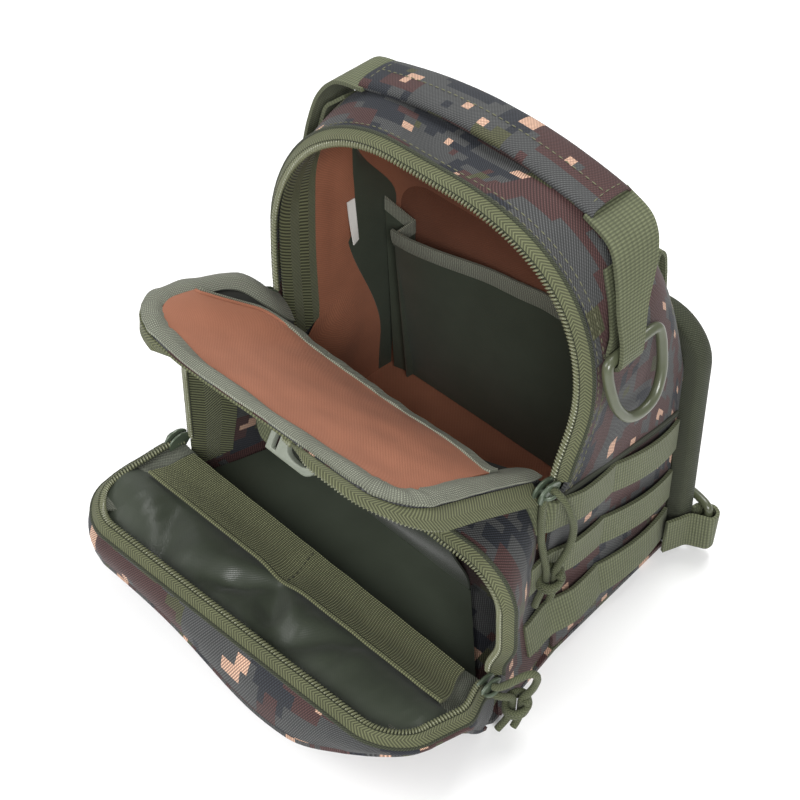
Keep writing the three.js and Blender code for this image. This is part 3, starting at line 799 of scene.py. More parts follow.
# %% Zip pulls
CORD = 3.2
PULLS = {
    "main": {
        "knot": (88.9, -6.4, 53),
        "inner": [(81.5, -7.4, 98), (82.7, -7.9, 97.5), (83.3, -8.6, 95.8), (83.7, -9.1, 92),
                  (83.9, -9.4, 87), (84.2, -9.4, 82), (84.4, -9.3, 78.6), (84.6, -9.1, 75),
                  (85.4, -8.9, 71), (86.1, -8.6, 67), (86.9, -8.2, 63), (87.5, -7.9, 59.5),
                  (87.7, -7.7, 56), (87.7, -7.7, 50), (87.2, -8.6, 46), (86.4, -9.8, 41),
                  (85.8, -10.8, 36)],
        "outer": [(81, -3.8, 100.4), (83.4, -3.9, 100.9), (86.2, -3.9, 100.7), (89, -3.6, 99.2),
                  (91.2, -3.2, 96.6), (92.6, -2.8, 93), (93.4, -1.8, 88.6), (93.7, -1.3, 84),
                  (93.6, -1.2, 79.4), (93.2, -1.5, 75), (92.6, -2.1, 70.6), (91.8, -3, 66.4),
                  (90.9, -4.1, 62.4), (90.2, -5, 58.6), (90, -5.2, 55), (90, -5.2, 50),
                  (90.4, -6, 45.6), (90.2, -7.4, 40.6)],
    },
    "pocket": {
        "knot": (105.2, -42.5, 19),
        "inner": [(98.6, -50.6, 28.4), (99.8, -50.4, 28.3), (101, -49.8, 28), (102, -48.7, 27.4),
                  (102.8, -47.3, 26.6), (103.4, -45.8, 25.5), (103.8, -44.5, 24.1), (103.9, -43.8, 22.4),
                  (103.9, -43.7, 20), (103.9, -43.7, 17.4), (103.9, -43.7, 15), (103.7, -44.3, 12.6),
                  (103.3, -45.4, 10.2), (102.8, -46.9, 8), (102.3, -48.5, 6.2), (101.9, -49.6, 4.9)],
        "outer": [(99, -50.6, 33.2), (100.8, -50.1, 34), (102.6, -48.7, 35.4), (104.4, -46.6, 37.2),
                  (106, -44, 38.8), (107.4, -41.2, 39.8), (108.6, -38.8, 39.4), (109.4, -37.2, 37.6),
                  (109.7, -36.6, 35), (109.5, -36.9, 32), (109, -37.8, 29), (108.2, -39.1, 26.4),
                  (107.2, -40.4, 24.2), (106.6, -41.2, 22), (106.5, -41.3, 18.6), (106.5, -41.3, 15),
                  (106.8, -42.3, 12.2), (107, -43.9, 9.8), (106.9, -45.8, 7.8)],
    },
}
KNOT = {"turns": 2.1, "round": 4.1, "tall": 5.4, "swell": 0.7, "slant": 1.7, "lead": 0.6, "step": 0.9}
KNOT_STOCK = 0.47 * CORD
STRAND_POINTS = 90


def knot_line(centre):
    """Two slanting turns round both strands, a little fuller half way along."""
    line = []
    for t in np.linspace(0, 1, STRAND_POINTS):
        turn = 2 * math.pi * KNOT["turns"] * t
        reach = KNOT["round"] + KNOT["swell"] * math.sin(math.pi * t)
        height = KNOT["tall"] * (0.5 - t) + KNOT["slant"] * math.sin(turn + KNOT["lead"])
        line.append(np.array(centre) + point(reach * math.cos(turn), reach * math.sin(turn), height))
    return line


for zip_name, pull in PULLS.items():
    knot_route = resample(knot_line(pull["knot"]), step=KNOT["step"])
    knot = rope(f"{zip_name}_pull_knot", knot_route, KNOT_STOCK)
    dress(knot, "cord", [f"{zip_name}_pull_knot"])
    for strand in ("inner", "outer"):
        route = smooth_line(pull[strand], STRAND_POINTS)
        name = f"{zip_name}_pull_{strand}"
        piece = dress(rope(name, route, CORD / 2), "cord", [name])

# %% [markdown]
# ## The curves of the bag
# The solid model describes the bag by a few arches. The main compartment runs from a tall arch at its zip
# to a low one at the back, the front pocket from its seam on the front wall to its own zip, and the flap
# and the lid are leaves laid out flat from their hinge. The same formulas are written again here, with a
# fuller crown, a flared foot and a deeper lid where the photograph shows them, so cloth lies on its solid
# or a little off it.

# %% The curves of the bag
BOTTOM = 2.9
# How far below the top of its outline a panel ends, and how near to it a width is read
BELOW_TOP = 0.1
NEAR_TOP = 0.01
ARCH = {"side": 0.17, "corner": 0.41}
BODY_FRONT = {"y": 1.3, "foot": 80, "shoulder": 85, "top": 203, "radius": 70}
BODY_BACK = {"y": 78, "foot": 87, "shoulder": 83, "top": 127, "radius": 24}
BODY_LEAN = 8
BODY_PULL = {"back": 5, "x": (20, 84), "rise": 32}
BODY_PUFF = {"side": 0.5, "top": 36, "late": 1.35}
ZIP_START = 98
FOOT_FLARE = {"out": 10.5, "z": (2, 46)}
SEAM_ARCH = {"y": -2.4, "foot": 78, "shoulder": 77, "top": 96, "radius": 18}
POCKET_ARCH = {"y": -46, "foot": 98, "shoulder": 94, "top": 95, "radius": 22}
POCKET_FLARE = {"out": 6, "x": (40, 94), "z": (34, 56)}
WALL = {"half": 79, "top": 97.3, "bulge": 14, "bow": 20}
FLAP = {"y": 0, "z": 98.6, "angle": 26, "twist": -1.5, "bow": 20, "skew": 5, "spread": (-6, 0),
        "foot": 75, "shoulder": 72, "bottom": 0.6, "top": 88, "radius": 22}
LID = {"y": -46.6, "z": 31, "angle": 13.5, "twist": 6.5, "bow": 0, "skew": 0, "spread": (3, 8), "round": 6.5,
       "foot": 98, "shoulder": 94, "bottom": 0.8, "top": 66, "radius": 22}
LEAF = {"skew": (-10, 60), "spread": (4, 26), "spread_left": -40, "round": (30, 95)}


def inset(dims, by):
    sizes = {key: dims[key] - by for key in ("foot", "shoulder", "top", "radius")}
    return {**dims, **sizes}


def arch_point(dims, u, out=0.0):
    if u > 0.5:
        x, z = arch_point(dims, 1 - u, out)
        return -x, z
    size = inset(dims, -out)
    shoulder = size["shoulder"]
    radius = size["radius"]
    spring = size["top"] - radius
    if u < ARCH["side"]:
        t = u / ARCH["side"]
        return -lerp(size["foot"], shoulder, t), lerp(dims.get("bottom", BOTTOM), spring, t)
    if u < ARCH["corner"]:
        turn = (u - ARCH["side"]) / (ARCH["corner"] - ARCH["side"]) * math.pi / 2
        return -(shoulder - radius) - radius * math.cos(turn), spring + radius * math.sin(turn)
    t = (u - ARCH["corner"]) / (1 - 2 * ARCH["corner"])
    return lerp(-(shoulder - radius), shoulder - radius, t), size["top"]


def arch_start(dims, height):
    bottom = dims.get("bottom", BOTTOM)
    return ARCH["side"] * (height - bottom) / (dims["top"] - dims["radius"] - bottom)


def arch_half(dims, height, out=0.0):
    size = inset(dims, -out)
    bottom = dims.get("bottom", BOTTOM)
    spring = size["top"] - size["radius"]
    if height <= spring:
        return lerp(size["foot"], size["shoulder"], (height - bottom) / (spring - bottom))
    flat = size["shoulder"] - size["radius"]
    return flat + math.sqrt(max(size["radius"] ** 2 - (height - spring) ** 2, 0))


def foot_flare(x, z, v):
    return math.copysign(FOOT_FLARE["out"] * (1 - smooth(z, *FOOT_FLARE["z"])) * (1 - clamp(v)), x)


def between(front, back, v):
    return {key: lerp(front[key], back[key], v) for key in front}


print("main zip arch is", round(2 * arch_half(BODY_FRONT, 150)), "mm wide")

# %% Main compartment's curves


def body_section(v):
    dims = between(BODY_FRONT, BODY_BACK, v)
    puff = hump(clamp(v) ** BODY_PUFF["late"])
    dims["foot"] += BODY_PUFF["side"] * puff
    dims["shoulder"] += BODY_PUFF["side"] * puff
    dims["top"] += BODY_PUFF["top"] * puff
    return dims


def body_point(u, v, out=0.0):
    dims = body_section(v)
    x, z = arch_point(dims, u, out)
    lean = BODY_LEAN * smooth(z, ZIP_START, BODY_FRONT["top"])
    above_start = smooth(z, ZIP_START, ZIP_START + BODY_PULL["rise"])
    pulled = BODY_PULL["back"] * smooth(x, *BODY_PULL["x"]) * above_start
    return point(x + foot_flare(x, z, v), dims["y"] + (lean + pulled) * (1 - v), z)


def body_half(y, z, out=0.0):
    v = (y - BODY_FRONT["y"]) / (BODY_BACK["y"] - BODY_FRONT["y"])
    return arch_half(body_section(v), z, out) + foot_flare(1, z, v)


print("the crown is", round(body_point(0.5, 0.5)[2]), "mm high half way back")

# %% Front pocket's curves


def wall_y(x, z):
    up = clamp((z - BOTTOM) / (WALL["top"] - BOTTOM))
    forward = WALL["bulge"] * hump(up) ** 2 + WALL["bow"] * up ** 2
    return -forward * (1 - (x / WALL["half"]) ** 2)


def pocket_flare(x, z, v):
    return POCKET_FLARE["out"] * smooth(x, *POCKET_FLARE["x"]) * smooth(z, *POCKET_FLARE["z"]) * v


def pocket_half(y, z):
    v = (SEAM_ARCH["y"] - y) / (SEAM_ARCH["y"] - POCKET_ARCH["y"])
    half = arch_half(between(SEAM_ARCH, POCKET_ARCH, v), z)
    return half + pocket_flare(half, z, v) + foot_flare(1, z, v)


def pocket_point(u, v, out=0.0):
    dims = between(SEAM_ARCH, POCKET_ARCH, v)
    x, z = arch_point(dims, u, out)
    wider = pocket_flare(x, z, v) + foot_flare(x, z, v)
    return point(x + wider, dims["y"] + (1 - v) * wall_y(x, z), z)


print("the front wall bulges", round(-wall_y(0, 60)), "mm at its middle")

# %% Curves of the flap and the lid


def leaf(place, x, l, n):
    """The place at x across a leaf, l out from its hinge and n above its face."""
    turn = math.radians(place["angle"] + place["twist"] * x / place["foot"])
    c = math.cos(turn)
    s = math.sin(turn)
    forward = place["bow"] * max(1 - (x / WALL["half"]) ** 2, 0) * (1 - l / place["top"])
    forward -= place["skew"] * x / place["foot"] * smooth(l, *LEAF["skew"])
    left, right = place["spread"]
    shift = smooth(l, *LEAF["spread"]) * lerp(left, right, smooth(x, LEAF["spread_left"], place["foot"]))
    shift -= place.get("round", 0) * hump(l / place["top"]) * smooth(-x, *LEAF["round"])
    return point(x + shift, place["y"] - forward - l * c + n * s, place["z"] + l * s + n * c)


def leaf_panel(place, dims, low, high, rise):
    """A panel from low to high, as wide as its outline there and rise(x, l) above the leaf's face."""
    def at(u, v):
        l = lerp(low, high, v)
        x = lerp(-1, 1, u) * arch_half(dims, min(l, dims["top"] - NEAR_TOP))
        return place(x, l, rise(x, l))
    return at


def lid_point(x, l, n):
    return leaf(LID, x, l, n)


print("the lid reaches", round(-lid_point(0, LID["top"], 0)[1]), "mm forwards")

# %% [markdown]
# ## Zips
# A coil zip is a woven tape with a row of small loops along its edge. Round each opening the tape slopes
# from a thin piping at the cloth's edge towards the opening, and the loops stand on its inner edge. One
# rounded bead, copied at the coil's pitch, reads as the coil. An edge is described by its points, the way
# in and the way forwards.

# %% Zip maker
TOOTH = {"pitch": 1.65, "long": 1.7, "wide": 0.55, "high": 0.85, "slant": 0.25}
TOOTH_PLACE = (4.1, 0.5)
TOOTH_BEAD = small_bead(8, 5)
TAPE = {"outer": (-0.9, -3.2), "inner": (2.5, 0.4), "under": (5.2, -0.5)}
PIPING = {"place": (-1.1, -3.4), "radius": 0.85}
ZIP_STEPS = 260
FINER = 4


def edge_frames(edge, start):
    """Points along an edge with the directions in and forwards, evenly stepped, and the edge's length."""
    us = np.linspace(start, 1 - start, FINER * ZIP_STEPS)
    run = run_along(np.array([edge(u)[0] for u in us]))
    even = np.interp(np.linspace(0, run[-1], ZIP_STEPS + 1), run, us)
    return [edge(u) for u in even], run[-1]


def zip_edge(name, edge, start, nodes):
    frames, long = edge_frames(edge, start)

    def section(u, sideways, forwards):
        origin, inwards, front = part_way(frames, u)
        return origin + sideways * inwards + forwards * front

    def strip(low, high):
        def at(u, v):
            return section(u, *(lerp(a, b, v) for a, b in zip(TAPE[low], TAPE[high])))
        return at

    dress(cloth(f"{name}_tape", strip("outer", "inner"), grid=(ZIP_STEPS, 6), thick=0.8), "tape", nodes)
    # The tape carried on under the loops takes the darker bound cloth: painted shade under and between the
    # loops
    dress(cloth(f"{name}_shade_bed", strip("inner", "under"), grid=(ZIP_STEPS, 3), thick=0.5), "bound")
    piping = [section(u, *PIPING["place"]) for u in np.linspace(0, 1, ZIP_STEPS + 1)]
    dress(rope(f"{name}_piping", piping, PIPING["radius"], sides=8), "bound")
    count = int(long / TOOTH["pitch"])
    places = []
    for k in range(count):
        u = (k + 0.5) / count
        _, inwards, front = part_way(frames, u)
        along = unit(np.cross(inwards, front))
        slanted = unit(inwards + TOOTH["slant"] * along)
        axes = (slanted * TOOTH["long"], along * TOOTH["wide"], front * TOOTH["high"])
        places.append((section(u, *TOOTH_PLACE), axes))
    dress(copies(f"{name}_teeth", TOOTH_BEAD, places), "teeth")
    print(name, "loops:", count)


def inward_edge(at, front):
    """An edge from at(u, out): the way in is found from a small step."""
    def edge(u):
        origin = at(u, 0.0)
        inwards = unit(at(u, -1.0) - origin)
        forwards = front(u)
        return origin, inwards, unit(forwards - inwards * forwards.dot(inwards))
    return edge


print("faces of one zip loop:", len(TOOTH_BEAD[1]))

# %% Zips
FORWARD = point(0, -1, 0)
MAIN_ZIP_START = ZIP_START + 2
POCKET_ZIP_START = 32
LID_ZIP_START = 1.5
LID_RIM = -0.6
LID_DIP = {"deep": 2.5, "l": (2, 10)}

main_start = arch_start(BODY_FRONT, MAIN_ZIP_START)
main_edge = inward_edge(lambda u, out: body_point(u, 0, out), lambda u: FORWARD)
zip_edge("main_zip", main_edge, main_start, ["main_zip_body"])
pocket_edge = inward_edge(lambda u, out: pocket_point(u, 1, out), lambda u: FORWARD)
zip_edge("pocket_zip", pocket_edge, arch_start(POCKET_ARCH, POCKET_ZIP_START), ["pocket_zip_body"])


def lid_dip(l):
    """How far the lid's edge dips where it meets its hinge."""
    return LID_DIP["deep"] * (1 - smooth(l, *LID_DIP["l"]))


def lid_rim(u, out):
    x, l = arch_point(LID, u, out)
    return lid_point(x, l, min(LID_RIM, -lid_dip(l)))


def lid_up(u):
    x, l = arch_point(LID, u)
    return unit(lid_point(x, l, 1) - lid_point(x, l, 0))


zip_edge("lid_zip", inward_edge(lid_rim, lid_up), arch_start(LID, LID_ZIP_START), ["pocket_zip_lid"])

# %% [markdown]
# ## Main compartment
# One long strip of printed cloth runs up one side, over the top and down the other. It is laid over the
# arches with a faint unevenness, because sewn nylon never lies quite flat, and two rows of stitching run
# beside the zip.

# %% Main compartment
GUSSET = {"low_front": -0.04, "zip_front": 0.055, "back": 0.995, "ripple": 0.9, "beside": 0.012}
GUSSET_ROWS = (0.035, 0.085)
FACING = {"below": 34, "front": 0.04, "back": 0.32, "under": 4.3}
LINING = {"low_front": 0.03, "zip_front": 0.305, "back": 0.992, "under": 4.5, "crease": 2.2,
          "beside": (0.065, 0.045)}


def gusset_at(u, v):
    ripple = GUSSET["ripple"] * wrinkle(14 * u, 3 * v, 1.5) * hump(v)
    beside_zip = smooth(min(u, 1 - u), main_start - GUSSET["beside"], main_start)
    front = lerp(GUSSET["low_front"], GUSSET["zip_front"], beside_zip)
    return body_point(u, lerp(front, GUSSET["back"], v), ripple)


panel("main_gusset", gusset_at, "printed", ["main_gusset"], grid=(180, 26), thick=1.6)
gusset_seams = [surface_line(gusset_at, straight(0.1, v, 0.9, v, 300), lift=0.95) for v in GUSSET_ROWS]
sew("gusset_stitches", gusset_seams)


def facing_at(u, v):
    start = arch_start(BODY_FRONT, ZIP_START - FACING["below"])
    return body_point(lerp(start, 1 - start, u), lerp(FACING["front"], FACING["back"], v), -FACING["under"])


panel("main_facing", facing_at, "facing", grid=(170, 8), thick=1.0)


def lining_at(u, v):
    crease = abs(wrinkle(11 * u, 2.5 * v, 4.2)) * hump(v)
    low, high = LINING["beside"]
    beside_zip = smooth(min(u, 1 - u), main_start - low, main_start - high)
    front = lerp(LINING["low_front"], LINING["zip_front"], beside_zip)
    return body_point(u, lerp(front, LINING["back"], v), -LINING["under"] - LINING["crease"] * crease)


panel("side_lining", lining_at, "terracotta", ["side_lining"], grid=(150, 20), thick=0.9)
print("main strip, its facing and its lining sewn")

# %% [markdown]
# ## Base and front wall
# The base is one flat panel with rounded front corners, and the front wall stands between the main
# compartment and the front pocket. Each has a lining a little way inside it, so that the two layers never
# show through each other.

# %% Base and front wall
BASE = {"back": 89, "middle": 91.5, "front": 97, "end": 78.4, "corner": 12, "nose": 7, "z": 1.3}
BASE_DEEP = (-53, 78.2)
FLOOR_LINING = {"half": 83, "deep": (1.5, 76.5), "z": 3.8, "sag": 0.5}
WALL_LINING = {"x": (0.05, 0.95), "z": (0.02, 0.985), "behind": 1.6}


def base_half(y):
    if y > 0:
        return lerp(BASE["middle"], BASE["back"], y / BASE["end"])
    if y > POCKET_ARCH["y"]:
        return lerp(BASE["middle"], BASE["front"], y / POCKET_ARCH["y"])
    past = (POCKET_ARCH["y"] - y) / BASE["nose"]
    return BASE["front"] - BASE["corner"] * (1 - math.sqrt(max(1 - past ** 2, 0)))


def base_at(u, v):
    y = lerp(*BASE_DEEP, v)
    return point(lerp(-1, 1, u) * base_half(y), y, BASE["z"])


panel("base_panel", base_at, "printed", ["base_panel"], grid=(40, 40), thick=2.4)


def floor_at(u, v):
    sag = FLOOR_LINING["sag"] * wrinkle(5 * u, 4 * v, 8.0)
    x = lerp(-1, 1, u) * FLOOR_LINING["half"]
    return point(x, lerp(*FLOOR_LINING["deep"], v), FLOOR_LINING["z"] + sag)


panel("floor_lining", floor_at, "terracotta", grid=(50, 24), thick=0.8)


def wall_at(u, v):
    z = lerp(BOTTOM, WALL["top"], v)
    x = lerp(-1, 1, u) * (WALL["half"] + foot_flare(1, z, 0))
    return point(x, wall_y(x, z), z)


def wall_lining_at(u, v):
    on_wall = wall_at(lerp(*WALL_LINING["x"], u), lerp(*WALL_LINING["z"], v))
    return on_wall + point(0, WALL_LINING["behind"], 0)


panel("front_wall", wall_at, "printed", ["front_wall"], grid=(60, 36), thick=1.7)
panel("wall_lining", wall_lining_at, "terracotta", grid=(50, 30), thick=0.8)
print("base and front wall sewn")

# %% [markdown]
# ## Inside the main compartment
# The back has a lining and, in front of it, a slip pocket of coated cloth. Its bound mouth gapes at the
# left, where a pleat lets it open. A coated sleeve lies on the left side and a small blank label hangs
# beside it. Each is one grid of cloth, so its formula only has to say how far it stands from the wall
# behind it.

# %% Back lining and slip pocket
BACK_LINING = {"foot": 84, "shoulder": 80, "top": 125, "radius": 20, "bottom": 3.2, "y": 77.8}
SLIP = {"left": -67, "right": 74.5, "low": 6, "top": 99, "back": 76.25, "past": 2, "crease": 0.4,
        "gape": 14, "gape_x": (-15, 67), "puff": 3.5, "puff_x": (-30, 10), "puff_z": 110}
SLIP_BOUND = {"wide": 8, "past": 0.4, "uneven": 1.1, "off": 0.6, "belly": 0.4}


def back_lining_at(u, v):
    z = lerp(BACK_LINING["bottom"], BACK_LINING["top"] - BELOW_TOP, v)
    return point(lerp(-1, 1, u) * arch_half(BACK_LINING, z), BACK_LINING["y"], z)


# The back lining takes the darker copy of the terracotta: painted shade for the shadow under the bag's top
panel("back_lining", back_lining_at, "shaded", ["back_lining"], grid=(30, 30), thick=0.9)


def slip_y(x, z):
    gape = SLIP["gape"] * smooth(-x, *SLIP["gape_x"]) * max(z / SLIP["top"], 0.1)
    across = (x - SLIP["left"]) / (SLIP["right"] - SLIP["left"])
    puff = SLIP["puff"] * hump(across) * hump(z / SLIP["puff_z"]) * smooth(x, *SLIP["puff_x"])
    return SLIP["back"] - gape - puff


def slip_at(u, v):
    x = lerp(SLIP["left"], SLIP["right"], u)
    z = lerp(SLIP["low"], SLIP["top"] + SLIP["past"], v)
    return point(x, slip_y(x, z) + SLIP["crease"] * wrinkle(4 * u, 4 * v, 3.1), z)


panel("slip_pocket", slip_at, "coated", ["slip_pocket"], grid=(70, 40), thick=0.9)


def slip_bound_at(u, v):
    x = lerp(SLIP["left"] - SLIP_BOUND["past"], SLIP["right"], u)
    uneven = SLIP_BOUND["uneven"] * wrinkle(7 * u, 0.5, 6.6)
    z = lerp(SLIP["top"], SLIP["top"] + SLIP_BOUND["wide"], v) + uneven
    return point(x, slip_y(x, z) - SLIP_BOUND["off"] - SLIP_BOUND["belly"] * hump(v), z)


panel("slip_binding", slip_bound_at, "binding", ["slip_binding"], grid=(90, 6), thick=1.5)
slip_row = straight(0.01, 0.42, 0.99, 0.42)
sew("slip_stitches", [surface_line(slip_bound_at, slip_row, lift=-0.9)], "dark_thread")
print("slip pocket sewn")

# %% Pleat, side sleeve and label
PLEAT = [(-67.4, 62.6, 0), (-66.8, 75.0, 1), (-77.6, 66.5, 14)]
PLEAT_FOLD = {"y": 75.4, "top": 97.0, "low_open": 0.35}
PLEAT_BOUND = {"off": 0.2, "z": (-1.0, 6.0)}
SIDE_SLEEVE = {"z": (5, 156), "inside": 5.2, "belly": 0.9,
               "front": (66, 42), "front_z": (30, 118), "nose": 6, "nose_z": (116, 156),
               "back": (74, 50), "back_z": (112, 156)}
LABEL = {"y": (43, 47.5), "z": (126, 104), "hung_at": (43, 120), "inside": 6.8, "curl": 2.0, "twist": 1.5}


def pleat_at(u, v):
    x, y, rise = part_way(PLEAT, u)
    opened = lerp(PLEAT_FOLD["low_open"], 1, v)
    return point(x, lerp(PLEAT_FOLD["y"], y, opened), lerp(SLIP["low"], PLEAT_FOLD["top"] + rise, v))


def pleat_bound_at(u, v):
    return pleat_at(u, 1) + point(0, -PLEAT_BOUND["off"], lerp(*PLEAT_BOUND["z"], v))


panel("slip_pleat", pleat_at, "coated", ["slip_pleat"], grid=(40, 24), thick=0.8)
panel("pleat_binding", pleat_bound_at, "binding", grid=(50, 4), thick=1.5)


def sleeve_at(u, v):
    z = lerp(*SIDE_SLEEVE["z"], v)
    front = lerp(*SIDE_SLEEVE["front"], smooth(z, *SIDE_SLEEVE["front_z"]))
    front += SIDE_SLEEVE["nose"] * smooth(z, *SIDE_SLEEVE["nose_z"])
    back = lerp(*SIDE_SLEEVE["back"], smooth(z, *SIDE_SLEEVE["back_z"]))
    y = lerp(front, back, u)
    return point(-body_half(y, z, -SIDE_SLEEVE["inside"]) + SIDE_SLEEVE["belly"] * hump(u) * v, y, z)


def label_at(u, v):
    curl = LABEL["curl"] * v + LABEL["twist"] * v * v * (1 - u)
    wall = body_half(*LABEL["hung_at"], -LABEL["inside"])
    return point(-wall + curl, lerp(*LABEL["y"], u), lerp(*LABEL["z"], v))


panel("side_sleeve", sleeve_at, "coated", ["side_sleeve"], grid=(20, 40), thick=0.8)
panel("label", label_at, "label", ["label"], grid=(10, 16), thick=0.5)
print("pleat, sleeve and label sewn")

# %% [markdown]
# ## Flap
# The flap is the front of the main compartment, folded down over the front pocket. It is a printed leaf
# with an inside of dark coated cloth, darkened further to near black as painted shade. Its left edge curls up
# a little, so one small function lifts every layer there by the same amount.

# %% Flap
CURL = {"high": 12.0, "x": (32, 74), "l": (-6, 26), "ease": 0.55, "ease_l": (52, 92)}
FLAP_INSIDE = {"in": 3, "low": 1.2, "above": 1.3}


def flap_point(x, l, n):
    eased = 1 - CURL["ease"] * smooth(l, *CURL["ease_l"])
    return leaf(FLAP, x, l, n + CURL["high"] * smooth(-x, *CURL["x"]) * smooth(l, *CURL["l"]) * eased)


flap_at = leaf_panel(flap_point, FLAP, FLAP["bottom"], FLAP["top"], lambda x, l: 0.0)
panel("main_flap", flap_at, "printed", ["main_flap"], grid=(60, 40), thick=1.5)
inner = inset(FLAP, FLAP_INSIDE["in"])
inside_at = leaf_panel(flap_point, inner, FLAP_INSIDE["low"], inner["top"], lambda x, l: FLAP_INSIDE["above"])
# The flap's inside is its coated cloth darkened to near black: painted shade inside the flap's pocket
panel("flap_inside", inside_at, "coated_painted_shade", grid=(40, 30), thick=0.6)
print("flap laid out")

# %% [markdown]
# ## The flap's slip pocket
# Seen from inside, most of the flap is a terracotta slip pocket with a bound mouth. The mouth runs near the
# hinge, bends away from it towards both ends and turns into a slit at the left. The lining rises at the
# mouth and fills out to a low pillow, and the binding and the slit's folded edge are laid on that same
# rise.

# %% The flap's slip pocket
MOUTH = {"middle": -4, "ends": 17, "half": 57, "most": 1.3, "slit": 34, "slit_x": (43, 69),
         "rise": 3.5, "least": 1.5, "rise_half": 70, "reach": 32, "taper": (-0.86, -0.66), "narrow": 0.4}
MOUTH_BOUND = {"low": -0.5, "deep": 5.0, "above": 0.5, "uneven": 0.5}
PILLOW = {"base": 1.6, "high": 3.0, "half": 64, "from": 4, "long": 76, "crease": 0.5}
SLIT = {"across": (-0.995, -0.6), "below": 3.2, "above": 0.5, "radius": 0.8}
FLAP_POCKET = inset(FLAP, 7.5)


def mouth_edge(x):
    bent = min((x / MOUTH["half"]) ** 2, MOUTH["most"])
    return MOUTH["middle"] + MOUTH["ends"] * bent + MOUTH["slit"] * smooth(-x, *MOUTH["slit_x"])


def lining_rise(x, l):
    open_by = MOUTH["least"] + MOUTH["rise"] * max(1 - (x / MOUTH["rise_half"]) ** 2, 0)
    mouth = open_by * bell(l - mouth_edge(x), MOUTH["reach"])
    filled = hump((l - PILLOW["from"]) / PILLOW["long"])
    pillow = PILLOW["high"] * max(1 - (x / PILLOW["half"]) ** 2, 0) * filled
    return PILLOW["base"] + mouth + pillow + PILLOW["crease"] * wrinkle(x / 16, l / 14, 2.2)


def mouth_panel(low, deep, rise):
    """A strip of the given depth along the mouth or, with no depth, a panel from the mouth to the front."""
    def at(u, v):
        across = lerp(-1, 1, u)
        start = mouth_edge(across * FLAP_POCKET["foot"]) + low
        tapered = deep * smooth(across, *MOUTH["taper"]) + MOUTH["narrow"]
        l = lerp(start, start + tapered if deep else FLAP_POCKET["top"] - BELOW_TOP, v)
        x = across * arch_half(FLAP_POCKET, min(max(l, FLAP["bottom"]), FLAP_POCKET["top"] - NEAR_TOP))
        return flap_point(x, l, rise(x, l))
    return at


def mouth_rise(x, l):
    return lining_rise(x, l) + MOUTH_BOUND["above"] + MOUTH_BOUND["uneven"] * wrinkle(x / 7, 0.3, 9.1)


def slit_line(t):
    across = lerp(*SLIT["across"], t)
    l = mouth_edge(across * FLAP_POCKET["foot"]) + SLIT["below"]
    x = across * arch_half(FLAP_POCKET, max(l, FLAP["bottom"]))
    return flap_point(x, l, lining_rise(x, l) + SLIT["above"])


panel("flap_lining", mouth_panel(3, 0, lining_rise), "terracotta", ["flap_lining"], grid=(70, 44), thick=0.9)
mouth_at = mouth_panel(MOUTH_BOUND["low"], MOUTH_BOUND["deep"], mouth_rise)
panel("flap_mouth_binding", mouth_at, "binding", ["flap_lining_binding"], grid=(90, 6), thick=1.5)
slit_edge = [slit_line(t) for t in np.linspace(0, 1, 60)]
dress(rope("slit_fold", slit_edge, SLIT["radius"], sides=8), "terracotta")
mouth_row = straight(0.02, 0.72, 0.98, 0.72)
sew("mouth_stitches", [surface_line(mouth_at, mouth_row, lift=0.95)], "dark_thread")
print("flap's slip pocket sewn")

# %% [markdown]
# ## The flap's edge
# A grey binding covers the seam round the flap, and below it runs the zip's other tape. The tape is folded
# down on the left, tucked in at the front and spread out on the right, where its loops show. Bands like
# these follow the flap's outline, so each needs only a formula for how far out it lies and one for how
# high.

# %% The flap's edge
FLAP_BOUND = {"wide": 8.4, "strip": 8.0, "strip_u": (0.01, 0.10), "uneven": 2.2,
              "out": 0.8, "out_uneven": 0.7, "above": 2.2, "belly": 0.9, "early": 1.15, "crease": 0.8}
FLAP_TAPE = {"start": 0.015, "inner": 0.4, "out": 7.6, "below": 0.6, "droop": 1.4, "crease": 0.3}
FOLDED = {"u": (0.40, 0.43), "in": 8.8, "drop": 4.0, "drop_u": (0.2, 0.27)}
TUCKED = {"u": (0.52, 0.57), "in": 14.0, "drop": 0.6}
SPREAD = {"u": (0.66, 0.86), "drop": 5.0}
FLAP_TEETH = {"u": (0.53, 1), "steps": 900, "edge": 0.97, "back": 0.80, "in": 1.2, "under": 0.9}


def flap_band(start, outs, rise):
    def at(u, v):
        x, l = arch_point(FLAP, lerp(start, 1 - start, u), outs(u, v))
        return flap_point(x, l, rise(u, v))
    return at


def binding_outs(u, v):
    strip = FLAP_BOUND["strip"] * (1 - smooth(u, *FLAP_BOUND["strip_u"]))
    inner = -FLAP_BOUND["wide"] - strip + FLAP_BOUND["uneven"] * wrinkle(26 * u, 0.2, 5.5)
    outer = FLAP_BOUND["out"] + FLAP_BOUND["out_uneven"] * wrinkle(21 * u, 0.9, 2.5)
    return lerp(inner, outer, v)


def binding_rise(u, v):
    belly = FLAP_BOUND["belly"] * hump(FLAP_BOUND["early"] * v)
    return FLAP_BOUND["above"] + belly + FLAP_BOUND["crease"] * wrinkle(30 * u, 2 * v, 7.7) - v ** 4


binding_at = flap_band(0.0, binding_outs, binding_rise)
panel("flap_binding", binding_at, "binding", ["flap_binding"], grid=(150, 8), thick=1.3)
flap_row = straight(0.02, 0.3, 0.98, 0.3, 200)
sew("flap_stitches", [surface_line(binding_at, flap_row, lift=0.8)], "dark_thread")


def folded(u):
    return 1 - smooth(u, *FOLDED["u"])


def tucked(u):
    return smooth(u, *FOLDED["u"]) * (1 - smooth(u, *TUCKED["u"]))


def flap_tape_outs(u, v):
    outer = FLAP_TAPE["out"] - FOLDED["in"] * folded(u) - TUCKED["in"] * tucked(u)
    return lerp(FLAP_TAPE["inner"], outer, v)


